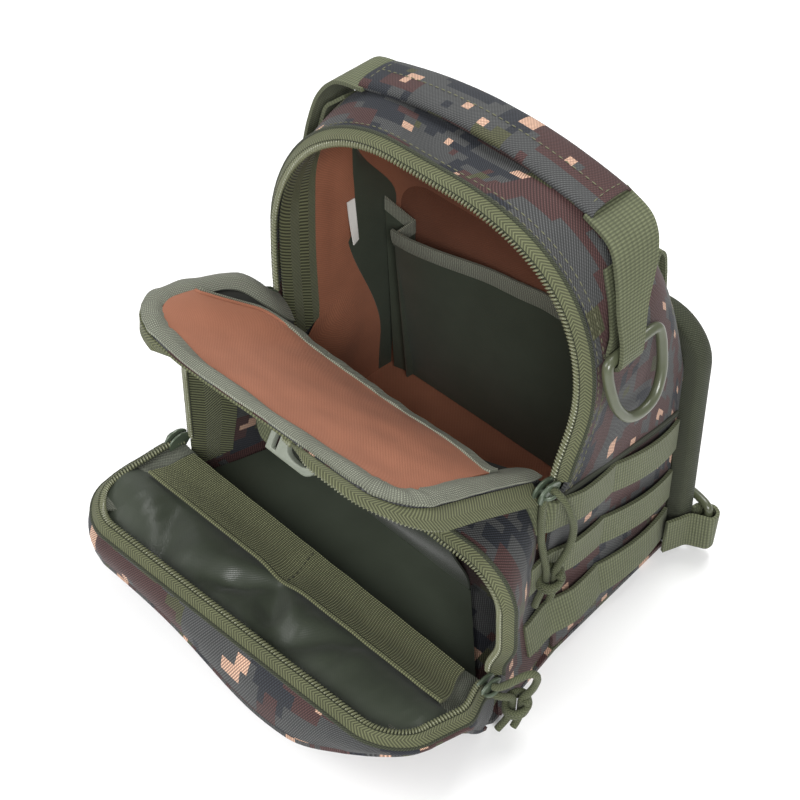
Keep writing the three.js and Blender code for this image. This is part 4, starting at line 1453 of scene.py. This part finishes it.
def flap_tape_rise(u, v):
    drop = FOLDED["drop"] * folded(u) * smooth(u, *FOLDED["drop_u"]) + TUCKED["drop"] * tucked(u)
    drop += SPREAD["drop"] * smooth(u, *SPREAD["u"])
    below = FLAP_TAPE["below"] + FLAP_TAPE["droop"] * v * v + drop * v
    return FLAP_TAPE["crease"] * wrinkle(12 * u, v, 3.9) - below


flap_tape_at = flap_band(FLAP_TAPE["start"], flap_tape_outs, flap_tape_rise)
panel("main_zip_flap", flap_tape_at, "tape", ["main_zip_flap"], grid=(170, 8), thick=0.9)


def flap_tooth_places():
    steps = np.linspace(*FLAP_TEETH["u"], FLAP_TEETH["steps"])
    line = np.array([flap_tape_at(u, FLAP_TEETH["edge"]) for u in steps])
    back = np.array([flap_tape_at(u, FLAP_TEETH["back"]) for u in steps])
    run = run_along(line)
    places = []
    for middle in np.arange(TOOTH["pitch"] / 2, run[-1], TOOTH["pitch"]):
        i = int(np.searchsorted(run, middle))
        outwards = unit(line[i] - back[i])
        along = unit(line[min(i + 2, len(line) - 1)] - line[max(i - 2, 0)])
        up = unit(np.cross(along, outwards))
        origin = line[i] - FLAP_TEETH["in"] * outwards - FLAP_TEETH["under"] * up * np.sign(up[2])
        places.append((origin, (outwards * TOOTH["long"], along * TOOTH["wide"], up * TOOTH["high"])))
    return places


flap_teeth = flap_tooth_places()
dress(copies("flap_zip_teeth", TOOTH_BEAD, flap_teeth), "teeth")
print("flap zip loops:", len(flap_teeth))

# %% [markdown]
# ## Front pocket
# The pocket's strip widens from its seam to its zip. A coated sleeve hangs on the front wall and leaves a
# strip of print on either side, and a key hook is sewn to the left wall on a short length of webbing.

# %% Front pocket
POCKET_GUSSET = {"back": 0.93, "ripple": 0.8}
POCKET_FACING = {"low": 9, "front": 0.99, "back": (0.52, 0.84), "back_u": (0.55, 0.8), "under": 2.6}
SLEEVE = {"left": -73, "right": 45, "z": (4.0, 81.0), "bound_z": (79.5, 87),
          "off": 4, "gape": 5, "gape_z": 80, "crease": 0.4, "bound_off": 0.5}
SLEEVE_SEAMS = (0.02, 0.045, 0.955, 0.98)
POCKET_FLOOR = {"front": -44.5, "left": (-93, -80), "right": (86, SLEEVE["right"] + 1), "z": 3.9, "sag": 0.5,
                "wall_z": 6, "off_wall": 4.6}


def pocket_gusset_at(u, v):
    ripple = POCKET_GUSSET["ripple"] * wrinkle(12 * u, 2.5 * v, 6.1) * hump(v)
    return pocket_point(u, lerp(0.0, POCKET_GUSSET["back"], v), ripple)


panel("pocket_gusset", pocket_gusset_at, "printed", ["pocket_gusset"], grid=(160, 16), thick=1.6)


def pocket_facing_at(u, v):
    start = arch_start(POCKET_ARCH, POCKET_FACING["low"])
    deep = lerp(*POCKET_FACING["back"], smooth(u, *POCKET_FACING["back_u"]))
    back = lerp(POCKET_FACING["front"], deep, v)
    return pocket_point(lerp(start, 1 - start, u), back, -POCKET_FACING["under"])


panel("pocket_facing", pocket_facing_at, "facing", grid=(150, 8), thick=1.0)


def pocket_sleeve_at(u, v, heights=SLEEVE["z"]):
    x = lerp(SLEEVE["left"], SLEEVE["right"], u)
    z = lerp(*heights, v)
    off = SLEEVE["off"] + SLEEVE["gape"] * (z / SLEEVE["gape_z"])
    return point(x, wall_y(x, z) - off + SLEEVE["crease"] * wrinkle(5 * u, 3 * v, 2.9), z)


def sleeve_bound_at(u, v):
    return pocket_sleeve_at(u, v, SLEEVE["bound_z"]) + point(0, -SLEEVE["bound_off"], 0)


def pocket_floor_at(u, v):
    x = lerp(lerp(*POCKET_FLOOR["left"], v), lerp(*POCKET_FLOOR["right"], v), u)
    y = lerp(POCKET_FLOOR["front"], wall_y(x, POCKET_FLOOR["wall_z"]) - POCKET_FLOOR["off_wall"], v)
    return point(x, y, POCKET_FLOOR["z"] + POCKET_FLOOR["sag"] * wrinkle(5 * u, 3 * v, 7.3))


panel("pocket_sleeve", pocket_sleeve_at, "coated", ["pocket_sleeve"], grid=(60, 40), thick=0.9)
panel("pocket_floor", pocket_floor_at, "coated", grid=(50, 20), thick=0.8)
panel("pocket_sleeve_binding", sleeve_bound_at, "mesh", ["pocket_sleeve_binding"], grid=(60, 5), thick=1.5)
sleeve_sides = [surface_line(pocket_sleeve_at, straight(u, 0.02, u, 0.98), lift=-0.8) for u in SLEEVE_SEAMS]
sew("sleeve_stitches", sleeve_sides, "dark_thread")
print("front pocket sewn")

# %% [markdown]
# ## Key hook and its strap
# The hook is a small flat moulding, so its own solid is kept: it is merged and its edges are rounded. Its
# strap is webbing laid along a smooth line, and the width of the webbing turns from the hook's tilt to the
# wall's.

# %% Key hook and its strap
HOOK_TILT = math.radians(58)
HOOK_CLEAN = {"doubled": 0.01 * MM, "flat": math.radians(1)}
HOOK_EDGE = {"width": 0.9 * MM, "segments": 3}
KEY_ROUTE = [(-49.4, -33, 56), (-53.4, -32.6, 56.6), (-60, -29, 59.5), (-69, -19.5, 65),
             (-73.4, -9.5, 73), (-74.4, -6, 80)]
KEY_WALL = point(0.45, 0.25, 0.86)
KEY_TURN = (0, 0.3)
STRAP_ACROSS = 6


def hook_piece():
    """The hook's own solid, merged and given round edges."""
    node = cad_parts["key_hook"]
    piece = bpy.data.objects.new("key_hook_moulded", node.data.copy())
    bpy.context.collection.objects.link(piece)
    select_only(piece)
    bpy.ops.object.mode_set(mode="EDIT")
    bpy.ops.mesh.select_all(action="SELECT")
    bpy.ops.mesh.remove_doubles(threshold=HOOK_CLEAN["doubled"])
    bpy.ops.mesh.dissolve_limited(angle_limit=HOOK_CLEAN["flat"])
    bpy.ops.object.mode_set(mode="OBJECT")
    round_edges(piece, **HOOK_EDGE)
    return piece


def strap(name, points, wide, steps, breadth, thick):
    """Webbing along a smooth line: wide(u) is the direction of its width."""
    route = smooth_line(points, steps + 1)

    def at(u, v):
        return route[int(round(u * steps))] + wide(u) * (v - 0.5) * breadth

    piece = cloth(name, at, (steps, STRAP_ACROSS), thick)
    return dress(piece, "webbing", [name])


def key_wide(u):
    tilted = point(0, math.cos(HOOK_TILT), math.sin(HOOK_TILT))
    turned = smooth(u, *KEY_TURN)
    return unit(tilted * (1 - turned) + KEY_WALL * turned)


dress(hook_piece(), "hook", ["key_hook"])
strap("key_strap", KEY_ROUTE, key_wide, steps=40, breadth=10, thick=1.3)
print("key hook hung")

# %% [markdown]
# ## Lid
# The lid is a shallow tray. Its wall is printed cloth, its floor carries a gathered pouch of coated cloth,
# and a wide elastic holds the pouch's mouth. A short row of stitches pins the elastic near its middle,
# which pulls the pouch into two lobes, so the pouch is shaped as two soft pillows with a valley below that
# row.

# %% Lid
LID_DEEP = {"hinge": 25, "tip": 19, "middle": 11, "middle_x": 28, "middle_wide": 42,
            "right": 14, "right_x": (45, 92), "over": 30}
LID_FACE = {"out": 1, "low": -2.4, "below": 0.7}
LID_ROWS = (0.05, 0.12)
RIM_DROP = 3


def lid_depth(x, l):
    tip = LID_DEEP["tip"] + LID_DEEP["middle"] * bell(x - LID_DEEP["middle_x"], LID_DEEP["middle_wide"])
    tip -= LID_DEEP["right"] * smooth(x, *LID_DEEP["right_x"])
    return lerp(LID_DEEP["hinge"], tip, smooth(l, 0, LID_DEEP["over"]))


def lid_wall(out, rim, above, bulge=0.0):
    """A wall from the rim down to a little above the lid's face, bulging in between."""
    def at(u, v):
        x, l = arch_point(LID, u, out + bulge * hump(v))
        return lid_point(x, l, lerp(min(rim, -lid_dip(l) - RIM_DROP), above - lid_depth(x, l), v))
    return at


lid_gusset_at = lid_wall(out=0, rim=-3.8, above=0, bulge=2.0)
panel("lid_gusset", lid_gusset_at, "printed", ["lid_gusset"], grid=(170, 14), thick=1.6)
lid_rows = [surface_line(lid_gusset_at, straight(0.03, v, 0.97, v, 240), lift=0.95) for v in LID_ROWS]
sew("lid_stitches", lid_rows)
lid_lining_at = lid_wall(out=-3.6, rim=-2.0, above=-0.3)
panel("lid_lining", lid_lining_at, "mesh", ["lid_lining"], grid=(150, 8), thick=0.9)
face = inset(LID, -LID_FACE["out"])
face_at = leaf_panel(
    lid_point, face, LID_FACE["low"], face["top"], lambda x, l: -lid_depth(x, l) - LID_FACE["below"])
panel("lid_face", face_at, "printed", ["lid_face"], grid=(60, 34), thick=1.7)
print("lid's tray sewn")

# %% [markdown]
# ## The lid's pouch
# The pouch is a gathered slip pocket, so most of its looks are in its folds: two that spread from the row
# of stitches and one nearer each end. Each fold is a bell-shaped hollow that drifts sideways as it runs
# down. The elastic is a firmer strip over the pouch's mouth, with a soft roll along its free edge.

# %% The lid's pouch
POUCH = {"in": 4.6, "edge": 26.5, "pin": -3.0, "base": -4.2, "fall": 4.5, "fall_over": 32,
         "belly": 5.5, "long": 34, "ruffle": 1.3, "finer": 0.6}
VALLEY = {"deep": 8.0, "drifts": (-0.75, 0.55), "wide": 4, "widen": 0.3, "fade": (14, 33)}
SIDE_FOLDS = [
    {"x": 40, "drift": -0.7, "wide": 8, "deep": 5.0},
    {"x": -62, "drift": 0.5, "wide": 9, "deep": 5.0},
]
POUCH_END = {"low": 2, "turn": 0.30, "out": (0.5, -9.5), "base": -3.4, "dip": 1.2, "crease": 0.5}
ELASTIC = {"half": 84, "l": (4, 28), "roll": 1.0, "base": -2.0, "sag": 1.4, "sag_l": 30,
           "pinch": 2.4, "pinch_wide": 8, "pinch_l": (8, 26), "free": 1.6, "free_l": (14, 27),
           "crease": 0.3, "roll_up": 0.25}
POUCH_OUTLINE = inset(LID, POUCH["in"])


def pouch_rise(x, l):
    down = l - POUCH["edge"]
    fading = 1 - smooth(down, *VALLEY["fade"])
    folds = 0.0
    for drift in VALLEY["drifts"]:
        aside = x - POUCH["pin"] - drift * down
        folds += VALLEY["deep"] * bell(aside, VALLEY["wide"] + VALLEY["widen"] * down) * fading
    for fold in SIDE_FOLDS:
        folds += fold["deep"] * bell(x - fold["x"] - fold["drift"] * down, fold["wide"])
    ruffle = wrinkle(x / 10, l / 24, 1.1) + POUCH["finer"] * wrinkle(x / 5, l / 20, 5.1)
    filled = hump(down / POUCH["long"]) * (POUCH["belly"] - folds + POUCH["ruffle"] * ruffle)
    return POUCH["base"] - POUCH["fall"] * smooth(down, 0, POUCH["fall_over"]) + filled


def elastic_rise(x, l):
    pinch = ELASTIC["pinch"] * bell(x - POUCH["pin"], ELASTIC["pinch_wide"]) * smooth(l, *ELASTIC["pinch_l"])
    sag = ELASTIC["sag"] * hump(l / ELASTIC["sag_l"])
    free = ELASTIC["free"] * smooth(l, *ELASTIC["free_l"])
    return ELASTIC["base"] - sag - pinch + free + ELASTIC["crease"] * wrinkle(x / 12, l / 12, 8.8)


def end_strip(sign):
    start = arch_start(POUCH_OUTLINE, POUCH_END["low"])

    def at(u, v):
        turn = lerp(start, POUCH_END["turn"], u)
        x, l = arch_point(POUCH_OUTLINE, turn if sign < 0 else 1 - turn, lerp(*POUCH_END["out"], v))
        crease = POUCH_END["crease"] * wrinkle(8 * u, 2 * v, 4.4)
        return lid_point(x, l, POUCH_END["base"] - POUCH_END["dip"] * v + crease)
    return at


pouch_at = leaf_panel(lid_point, POUCH_OUTLINE, POUCH["edge"], POUCH_OUTLINE["top"] - BELOW_TOP, pouch_rise)
panel("lid_pouch", pouch_at, "coated", ["lid_pouch"], grid=(130, 40), thick=0.8)
for side, sign in (("left", -1), ("right", 1)):
    panel(f"pouch_end_{side}", end_strip(sign), "mesh", grid=(40, 6), thick=1.0)

elastic_outline = {**POUCH_OUTLINE, "foot": ELASTIC["half"], "shoulder": ELASTIC["half"]}
elastic_at = leaf_panel(lid_point, elastic_outline, *ELASTIC["l"], elastic_rise)
panel("lid_elastic", elastic_at, "elastic", ["lid_elastic"], grid=(110, 10), thick=1.5)
elastic_edge = [elastic_at(u, 1.0) + point(0, 0, ELASTIC["roll_up"]) for u in np.linspace(0, 1, 120)]
dress(rope("elastic_roll", elastic_edge, ELASTIC["roll"], sides=8), "elastic")
pin_u = 0.5 + POUCH["pin"] / (2 * ELASTIC["half"])
pin_row = straight(pin_u, 0.04, pin_u + 0.012, 0.98)
sew("elastic_stitches", [surface_line(elastic_at, pin_row, lift=-0.95)], "dark_thread")
print("pouch and elastic sewn")

# %% [markdown]
# ## Back
# The back is a padded panel with a bound edge. The pad is a crowned cushion quilted into channels. The
# binding is a strip folded round the panel's edge, so it is swept round the outline with a U-shaped
# section.

# %% Back
BACK = {"y": 79, "foot": 96, "shoulder": 91, "bottom": 0.8, "top": 132.5, "radius": 24, "low": 14, "least": 2}
BOUND_STEPS = 240
BOUND_ACROSS = 24
BOUND_ROWS = (0.1, 0.9)
BOUND_CURVE = [(8.2, 0.1), (4.0, -0.1), (1.4, 0.2), (0.2, 1.8), (-0.2, 4.3), (0.2, 6.8), (1.4, 8.4),
               (4.0, 8.8), (8.2, 8.6)]
PAD = {"foot": 87.6, "shoulder": 82.6, "top": 124.1, "radius": 16, "bottom": 9.2, "y": 83.2, "wall": 3.6,
       "crown": 4.4, "channel": 0.45, "channel_wide": 9, "channels": (-29, 29), "rim_u": 0.1, "rim_v": 0.12}


def back_outline(inset_by):
    foot = BACK["foot"] - inset_by
    shoulder = BACK["shoulder"] - inset_by
    low = BACK["bottom"] + inset_by
    high = BACK["top"] - inset_by
    radius = max(BACK["radius"] - inset_by, BACK["least"])
    corner = max(BACK["low"] - inset_by, BACK["least"])
    line = [(0, low), (foot - corner, low)]
    for t in np.linspace(0, 1, 14):
        x = (1 - t) ** 2 * (foot - corner) + 2 * t * (1 - t) * foot + t * t * foot
        z = (1 - t) ** 2 * low + 2 * t * (1 - t) * low + t * t * (low + corner)
        line.append((x, z))
    for turn in np.linspace(0, math.pi / 2, 18):
        line.append((shoulder - radius + radius * math.cos(turn), high - radius + radius * math.sin(turn)))
    line.append((0, high))
    half = [point(x, 0, z) for x, z in line]
    other = [point(-p[0], 0, p[2]) for p in half[::-1]]
    return resample(half + other[1:], count=BOUND_STEPS + 1)


bound_section = smooth_line([point(a, b, 0) for a, b in BOUND_CURVE], BOUND_ACROSS + 1)
bound_loops = [(back_outline(inset_by), back) for inset_by, back, _ in bound_section]


def bound_at(u, v):
    k = int(round(u * BOUND_STEPS))
    ring, back = part_way([(loop[k], back) for loop, back in bound_loops], v)
    return ring + point(0, BACK["y"] + back, 0)


bound = cloth("back_binding", bound_at, (BOUND_STEPS, BOUND_ACROSS), thick=1.0, closed=True)
dress(bound, "bound", ["back_binding"])
bound_lines = [surface_line(bound_at, straight(0.0, v, 1.0, v, 300), lift=-0.6) for v in BOUND_ROWS]
sew("back_stitches", bound_lines, "dark_thread")


def pad_at(u, v):
    z = lerp(PAD["bottom"], PAD["top"] - BELOW_TOP, v)
    x = lerp(-1, 1, u) * arch_half(PAD, z)
    edge = min(smooth(min(u, 1 - u), 0, PAD["rim_u"]), smooth(min(v, 1 - v), 0, PAD["rim_v"]))
    quilted = smooth(min(abs(x - c) for c in PAD["channels"]), 0, PAD["channel_wide"])
    return point(x, PAD["y"] + PAD["crown"] * edge * lerp(PAD["channel"], 1, quilted), z)


pad = cloth("back_panel", pad_at, grid=(80, 60), thick=0)
thicken(pad, PAD["wall"], 1)
apply_modifiers(pad)
dress(pad, "pad", ["back_panel"])
print("back padded and bound")

# %% [markdown]
# ## Handle
# The handle is one strap of webbing with a printed sleeve sewn round its middle. The sleeve is a closed
# tube, so its formula goes once round it with v and along it with u, and a little sag brings its ends down
# to the webbing.

# %% Handle
GRIP = {"half": 60, "wide": 22, "thick": 2.9, "y": 46, "z": 206.5, "drop": 8, "seam_high": 3.3,
        "flat": 0.8, "round": 0.9, "crease": 0.5}
GRIP_SEAMS = [straight(0.02, 0.46, 0.98, 0.46), straight(0.025, 0.15, 0.025, 0.85),
              straight(0.975, 0.15, 0.975, 0.85)]


def grip_middle(u):
    x = lerp(-GRIP["half"], GRIP["half"], u)
    return x, GRIP["z"] - GRIP["drop"] * (x / GRIP["half"]) ** 2


def flattened(value, power):
    return math.copysign(abs(value) ** power, value)


def grip_at(u, v):
    x, middle = grip_middle(u)
    turn = 2 * math.pi * v
    flat = flattened(math.cos(turn), GRIP["flat"])
    lifted = flattened(math.sin(turn), GRIP["round"])
    crease = GRIP["crease"] * wrinkle(9 * u, 2.0 * v, 3.3)
    return point(x, GRIP["y"] + 0.5 * GRIP["wide"] * flat, middle + (GRIP["thick"] + crease) * lifted)


def grip_top(u, v):
    x, middle = grip_middle(u)
    high = GRIP["seam_high"] * math.sqrt(max(1 - (2 * v - 1) ** 2, 0))
    return point(x, GRIP["y"] + GRIP["wide"] * (v - 0.5), middle + high)


grip = cloth("handle_grip", grip_at, grid=(90, 36), thick=0.9, closed=True)
dress(grip, "printed", ["handle_grip"])
sew("handle_stitches", [surface_line(grip_top, line, lift=0.35) for line in GRIP_SEAMS])
print("grip sewn")

# %% [markdown]
# ## Rings and handle webbing
# At each end the webbing comes down from the grip, is folded through a ring and is sewn to the bag. The
# points of its route are the sewn end, the fold and the rise, and a smooth line joins them. A ring is a
# rope closed on itself, and it rides on a body of its own, because it can swing.

# %% Rings and handle webbing
WEB = {"wide": 25, "thick": 1.6}
WEB_STEPS = 120
WEB_TURN = (0.12, 0.26)
GATHER = {"first": 0.64, "least": 0.5, "u": (0.26, 0.42), "opens": 0.5, "open_u": (0.44, 0.8),
          "aside_u": (0.24, 0.36)}
RING = {"wide": 31, "tall": 30, "stock": 2.2, "hang": 16, "eye": 3.8}
RING_POINTS = 160
RINGS = {
    "right": {"x": 88.8, "y": 29, "z": 159, "sewn": 0.3, "side": 1, "tuck": 0,
              "rise": [(91.4, 0.07, 0.18), (87, 0.2, 0.42), (80, 0.55, 0.68), (71.5, 0.86, 0.88),
                       (57, 1, 1)]},
    "left": {"x": 88.8, "y": 43, "z": 149.6, "sewn": 0.48, "side": -1, "tuck": 1.5,
             "rise": [(91.4, 0.07, 0.18), (88.5, 0.2, 0.44), (83, 0.55, 0.73), (73.5, 0.86, 0.93),
                      (57, 1, 1)]},
}
SEWN = {"points": [(0.718, 0), (0.735, 0.3), (0.752, 1.2)], "end": 0.758, "slant": 2, "off": 1.9}
FOLD_TURNS = (1, 1.25, 1.5, 1.75, 2)


def ring_line(ring):
    half = ring["wide"] / 2
    tall = ring["tall"]
    bend = ring["stock"] * 1.4
    side = [(half - bend, 0), (half - bend * 0.3, -bend * 0.3), (half, -bend), (half, -tall * 0.35),
            (half * 0.86, -tall * 0.68), (half * 0.5, -tall * 0.93)]
    outline = [(0, 0)] + side + [(0, -tall)] + [(-x, y) for x, y in side[::-1]] + [(0, 0)]
    line = smooth_line([point(x, y, 0) for x, y in outline], RING_POINTS + 1)
    return line[:-1]


def web_route(ring):
    route = []
    for u, off in SEWN["points"]:
        route.append(body_point(u, ring["sewn"] + SEWN["slant"] * (SEWN["end"] - u), SEWN["off"] + off))
    for half_turns in FOLD_TURNS:
        turn = half_turns * math.pi
        across = RING["eye"] * math.cos(turn)
        route.append(point(ring["x"] + across, ring["y"], ring["z"] + RING["eye"] * math.sin(turn)))
    for out, back, high in ring["rise"]:
        pulled_in = ring["tuck"] * math.sin(math.pi * high) ** 0.5 if high < 1 else 0
        top = lerp(ring["z"], GRIP["z"] - GRIP["drop"], high)
        route.append(point(out - pulled_in, lerp(ring["y"], GRIP["y"], back), top))
    return route


def web_share(u, side):
    """How much of the webbing's width is seen: on the right it is gathered where it passes the ring."""
    if side == "left":
        return 1.0
    gathered = lerp(GATHER["first"], GATHER["least"], smooth(u, *GATHER["u"]))
    return gathered + GATHER["opens"] * smooth(u, *GATHER["open_u"])


def handle_web(side, ring, mirror):
    slope = unit(body_point(0.7, ring["sewn"] + 0.1) - body_point(0.7, ring["sewn"] - 0.1))

    def web_wide(u):
        turned = smooth(u, *WEB_TURN)
        return mirror * unit(slope * (1 - turned) + point(0, 1, 0) * turned) * web_share(u, side)

    route = smooth_line([mirror * p for p in web_route(ring)], WEB_STEPS + 1)
    for k, u in enumerate(np.linspace(0, 1, WEB_STEPS + 1)):
        route[k][1] -= (1 - web_share(u, side)) / 2 * WEB["wide"] * smooth(u, *GATHER["aside_u"])
    strap(f"handle_web_{side}", route, web_wide, WEB_STEPS, WEB["wide"], WEB["thick"])


def handle_ring(side, ring, mirror):
    hang = math.radians(RING["hang"])
    placed = []
    for across, down, _ in ring_line(RING):
        out = ring["x"] - down * math.sin(hang)
        placed.append(mirror * point(out, ring["y"] + across, ring["z"] + down * math.cos(hang)))
    piece = rope(f"ring_{side}", placed, RING["stock"], sides=16, closed=True)
    dress(piece, "plastic", [f"ring_{side}"], f"handle_ring_{side}")


for side, ring in RINGS.items():
    mirror = point(ring["side"], 1, 1)
    handle_web(side, ring, mirror)
    handle_ring(side, ring, mirror)
print("handle rings:", list(RINGS))

# %% [markdown]
# ## Side webbing
# Three rows of webbing run along each side. They are sewn down at intervals, so that they stand a little
# proud in between, and their front ends are tucked into the pocket's seam. A thin double line of piping
# runs above them.

# %% Side webbing
SIDES = {"right": 1, "left": -1}
ROWS = [{"z": 77, "tilt": 0.15, "front": -11}, {"z": 46, "tilt": 0.13, "front": -16},
        {"z": 20.5, "tilt": 0.04, "front": -20}]
ROW = {"wide": 17, "back": 76, "level_at": 60, "off": 2.3, "loose": 2.4, "loose_y": (-4, 12),
       "seam": 3, "tucked": 1.4}
TACK = {"rows": 5, "gap": 0.9 / 72, "long": 1.7, "pitch": 2.2}
SIDE_PIPING = {"z": 88.5, "tilt": 0.1, "y": (2, 76), "off": 1.3, "lines": ((0.0, 0.8), (1.7, 0.7))}


def row_at(row, sign):
    def at(u, v):
        y = lerp(row["front"], ROW["back"], u)
        z = row["z"] + ROW["wide"] * (v - 0.5) + row["tilt"] * (ROW["level_at"] - y)
        loose = ROW["loose"] * abs(math.sin(2 * math.pi * u)) ** 0.8 * smooth(y, *ROW["loose_y"])
        sewn = body_half(max(y, -ROW["seam"]), z, ROW["off"]) + loose
        seam = pocket_half(row["front"], z) + ROW["tucked"]
        return point(sign * lerp(sewn, seam, smooth(-y, ROW["seam"], -row["front"])), y, z)
    return at


def side_rows(side, sign):
    seams = []
    for i, row in enumerate(ROWS):
        at = row_at(row, sign)
        name = f"side_web_{side}_{i + 1}"
        dress(cloth(name, at, grid=(80, 8), thick=WEB["thick"]), "webbing", [name])
        for k in range(TACK["rows"]):
            u = 0.5 + (k - TACK["rows"] // 2) * TACK["gap"]
            seams.append(surface_line(at, straight(u, 0.06, u, 0.94, 30), lift=-sign * 0.95))
    sew(f"side_tacks_{side}", seams, "dark_thread", long=TACK["long"], pitch=TACK["pitch"])


def side_piping(side, sign):
    for drop, radius in SIDE_PIPING["lines"]:
        route = []
        for y in np.linspace(*SIDE_PIPING["y"], 60):
            z = SIDE_PIPING["z"] + SIDE_PIPING["tilt"] * (ROW["level_at"] - y) - drop
            route.append(point(sign * body_half(y, z, SIDE_PIPING["off"]), y, z))
        dress(rope(f"side_piping_{side}_{int(drop)}", route, radius, sides=8), "dark_thread")


for side, sign in SIDES.items():
    side_rows(side, sign)
    side_piping(side, sign)
print("side rows:", len(SIDES) * len(ROWS))

# %% [markdown]
# ## Loops at the back
# Short loops of webbing stand at the back's corners: one at each lower corner, folded round a ring that can
# swing, and one near each end of the upper edge. A loop is a strap whose route bends back on itself.

# %% Loops at the back
CORNER = {"wide": 25.4, "tall": 24, "stock": 2.0, "eye": 4.3, "web": 20, "steps": 90,
          "x": 103, "y": 88, "z": 17.2, "swing": 15}
CORNER_BEND = (-90, -30, 30, 90, 140)
CORNER_SEWN = [(93.8, 70), (96.2, 76), (98.4, 81)]
CORNER_END = [(97.2, 88.6), (96.4, 85.4)]
TOP_LOOP = {"x": 51, "lean": 0.12, "steps": 60}
TOP_PROFILE = [(80.4, 0.8), (80.4, 12), (81.3, 19), (83.6, 21.6), (85.9, 19), (86.8, 12), (86.8, 0.8)]


def corner_loop(side, mirror):
    bend = []
    for degrees in CORNER_BEND:
        turn = math.radians(degrees)
        out = CORNER["x"] + CORNER["eye"] * math.cos(turn)
        bend.append((out, CORNER["y"] + CORNER["eye"] * math.sin(turn)))
    route = [mirror * point(x, y, CORNER["z"]) for x, y in CORNER_SEWN + bend + CORNER_END]
    strap(f"corner_loop_{side}", route, lambda u: point(0, 0, 1), CORNER["steps"], CORNER["web"],
          WEB["thick"])


def corner_ring(side, mirror):
    swing = math.radians(CORNER["swing"])
    placed = []
    for across, down, _ in ring_line(CORNER):
        out = CORNER["x"] + down * math.cos(swing)
        placed.append(mirror * point(out, CORNER["y"] - down * math.sin(swing), CORNER["z"] - across))
    piece = rope(f"corner_ring_{side}", placed, CORNER["stock"], sides=16, closed=True)
    dress(piece, "plastic", [f"corner_ring_{side}"], f"strap_ring_{side}")


def top_loop(side, mirror):
    route = []
    for back, up in TOP_PROFILE:
        route.append(mirror * point(TOP_LOOP["x"] - TOP_LOOP["lean"] * up, back, BACK["top"] + up))
    strap(f"top_loop_{side}", route, lambda u: point(1, 0, 0), TOP_LOOP["steps"], WEB["wide"], WEB["thick"])


for side, sign in SIDES.items():
    mirror = point(sign, 1, 1)
    corner_loop(side, mirror)
    corner_ring(side, mirror)
    top_loop(side, mirror)
print("loops sewn on", len(SIDES), "sides")

# %% [markdown]
# ## Sliders
# A slider is a small painted casting: two rounded plates joined by a wedge, with a bridge across its face
# for the pull. A plate is a cylinder whose points are moved in code, which squeezes it to a teardrop, and
# the bridge is a bent rod.

# %% Sliders
SLIDER = {"long": 13, "wide": 9, "thick": 4.4, "plate": 1.2, "squeeze": 0.35, "wedge": 1.6, "wedge_at": -1.5}
SLIDER_EDGE = {"width": 0.35, "segments": 2}
BRIDGE = {"low": 2.2, "rise": 2.4, "half": 3.6, "lift": 0.3, "radius": 0.8}
SLIDERS = {
    "main_slider_right": {"place": (81.5, -5.2, 100), "tilt": 8, "side": 1},
    "main_slider_left": {"place": (78.5, -7.2, 101), "tilt": 8, "side": -1},
    "pocket_slider_right": {"place": (96, -51.2, 31), "tilt": 6, "side": 1},
    "pocket_slider_left": {"place": (96, -51.2, 31), "tilt": 6, "side": -1},
}


def slider_plate(offset):
    bpy.ops.object.select_all(action="DESELECT")
    bpy.ops.mesh.primitive_cylinder_add(vertices=32, radius=1.0, depth=SLIDER["plate"])
    plate = bpy.context.active_object
    for vertex in plate.data.vertices:
        x, y, z = vertex.co
        narrowed = y * (1 - SLIDER["squeeze"] * max(x, 0) ** 2)
        vertex.co = (x * SLIDER["long"] / 2, narrowed * SLIDER["wide"] / 2, z + offset)
    round_edges(plate, **SLIDER_EDGE)
    return plate


def slider_wedge():
    bpy.ops.object.select_all(action="DESELECT")
    bpy.ops.mesh.primitive_cylinder_add(vertices=16, radius=SLIDER["wedge"], depth=SLIDER["thick"] - 1.0,
                                        location=(SLIDER["wedge_at"], 0, 0))
    return bpy.context.active_object


def slider_piece(name, place, tilt, side):
    plate_at = SLIDER["thick"] / 2 - SLIDER["plate"] / 2
    parts = [slider_plate(-plate_at), slider_plate(plate_at), slider_wedge()]
    select_only(parts[0])
    for part in parts:
        part.select_set(True)
    bpy.ops.object.join()
    piece = bpy.context.active_object
    piece.name = name
    angle = math.radians(tilt)
    for vertex in piece.data.vertices:
        along, across, out = vertex.co
        y = along * math.cos(angle) - across * math.sin(angle)
        z = along * math.sin(angle) + across * math.cos(angle)
        vertex.co = point(side * (place[0] + out), place[1] + y, place[2] + z) * MM
    piece.matrix_world.identity()
    face_outwards(piece)
    bpy.ops.object.shade_smooth_by_angle(angle=SHARP)
    return piece


def slider_bridge(name, place, side):
    x, y, z = place
    arc = []
    for t in np.linspace(0, math.pi, 24):
        reach = BRIDGE["low"] + BRIDGE["rise"] * math.sin(t)
        forward = BRIDGE["half"] * math.cos(t)
        arc.append(point(side * (x + reach), y + forward, z + BRIDGE["lift"] * math.sin(t)))
    return rope(name, arc, BRIDGE["radius"], sides=8)


for name, slider in SLIDERS.items():
    dress(slider_piece(f"{name}_cast", **slider), "metal", [name])
    dress(slider_bridge(f"{name}_bridge", slider["place"], slider["side"]), "metal")
print("sliders cast:", len(SLIDERS))
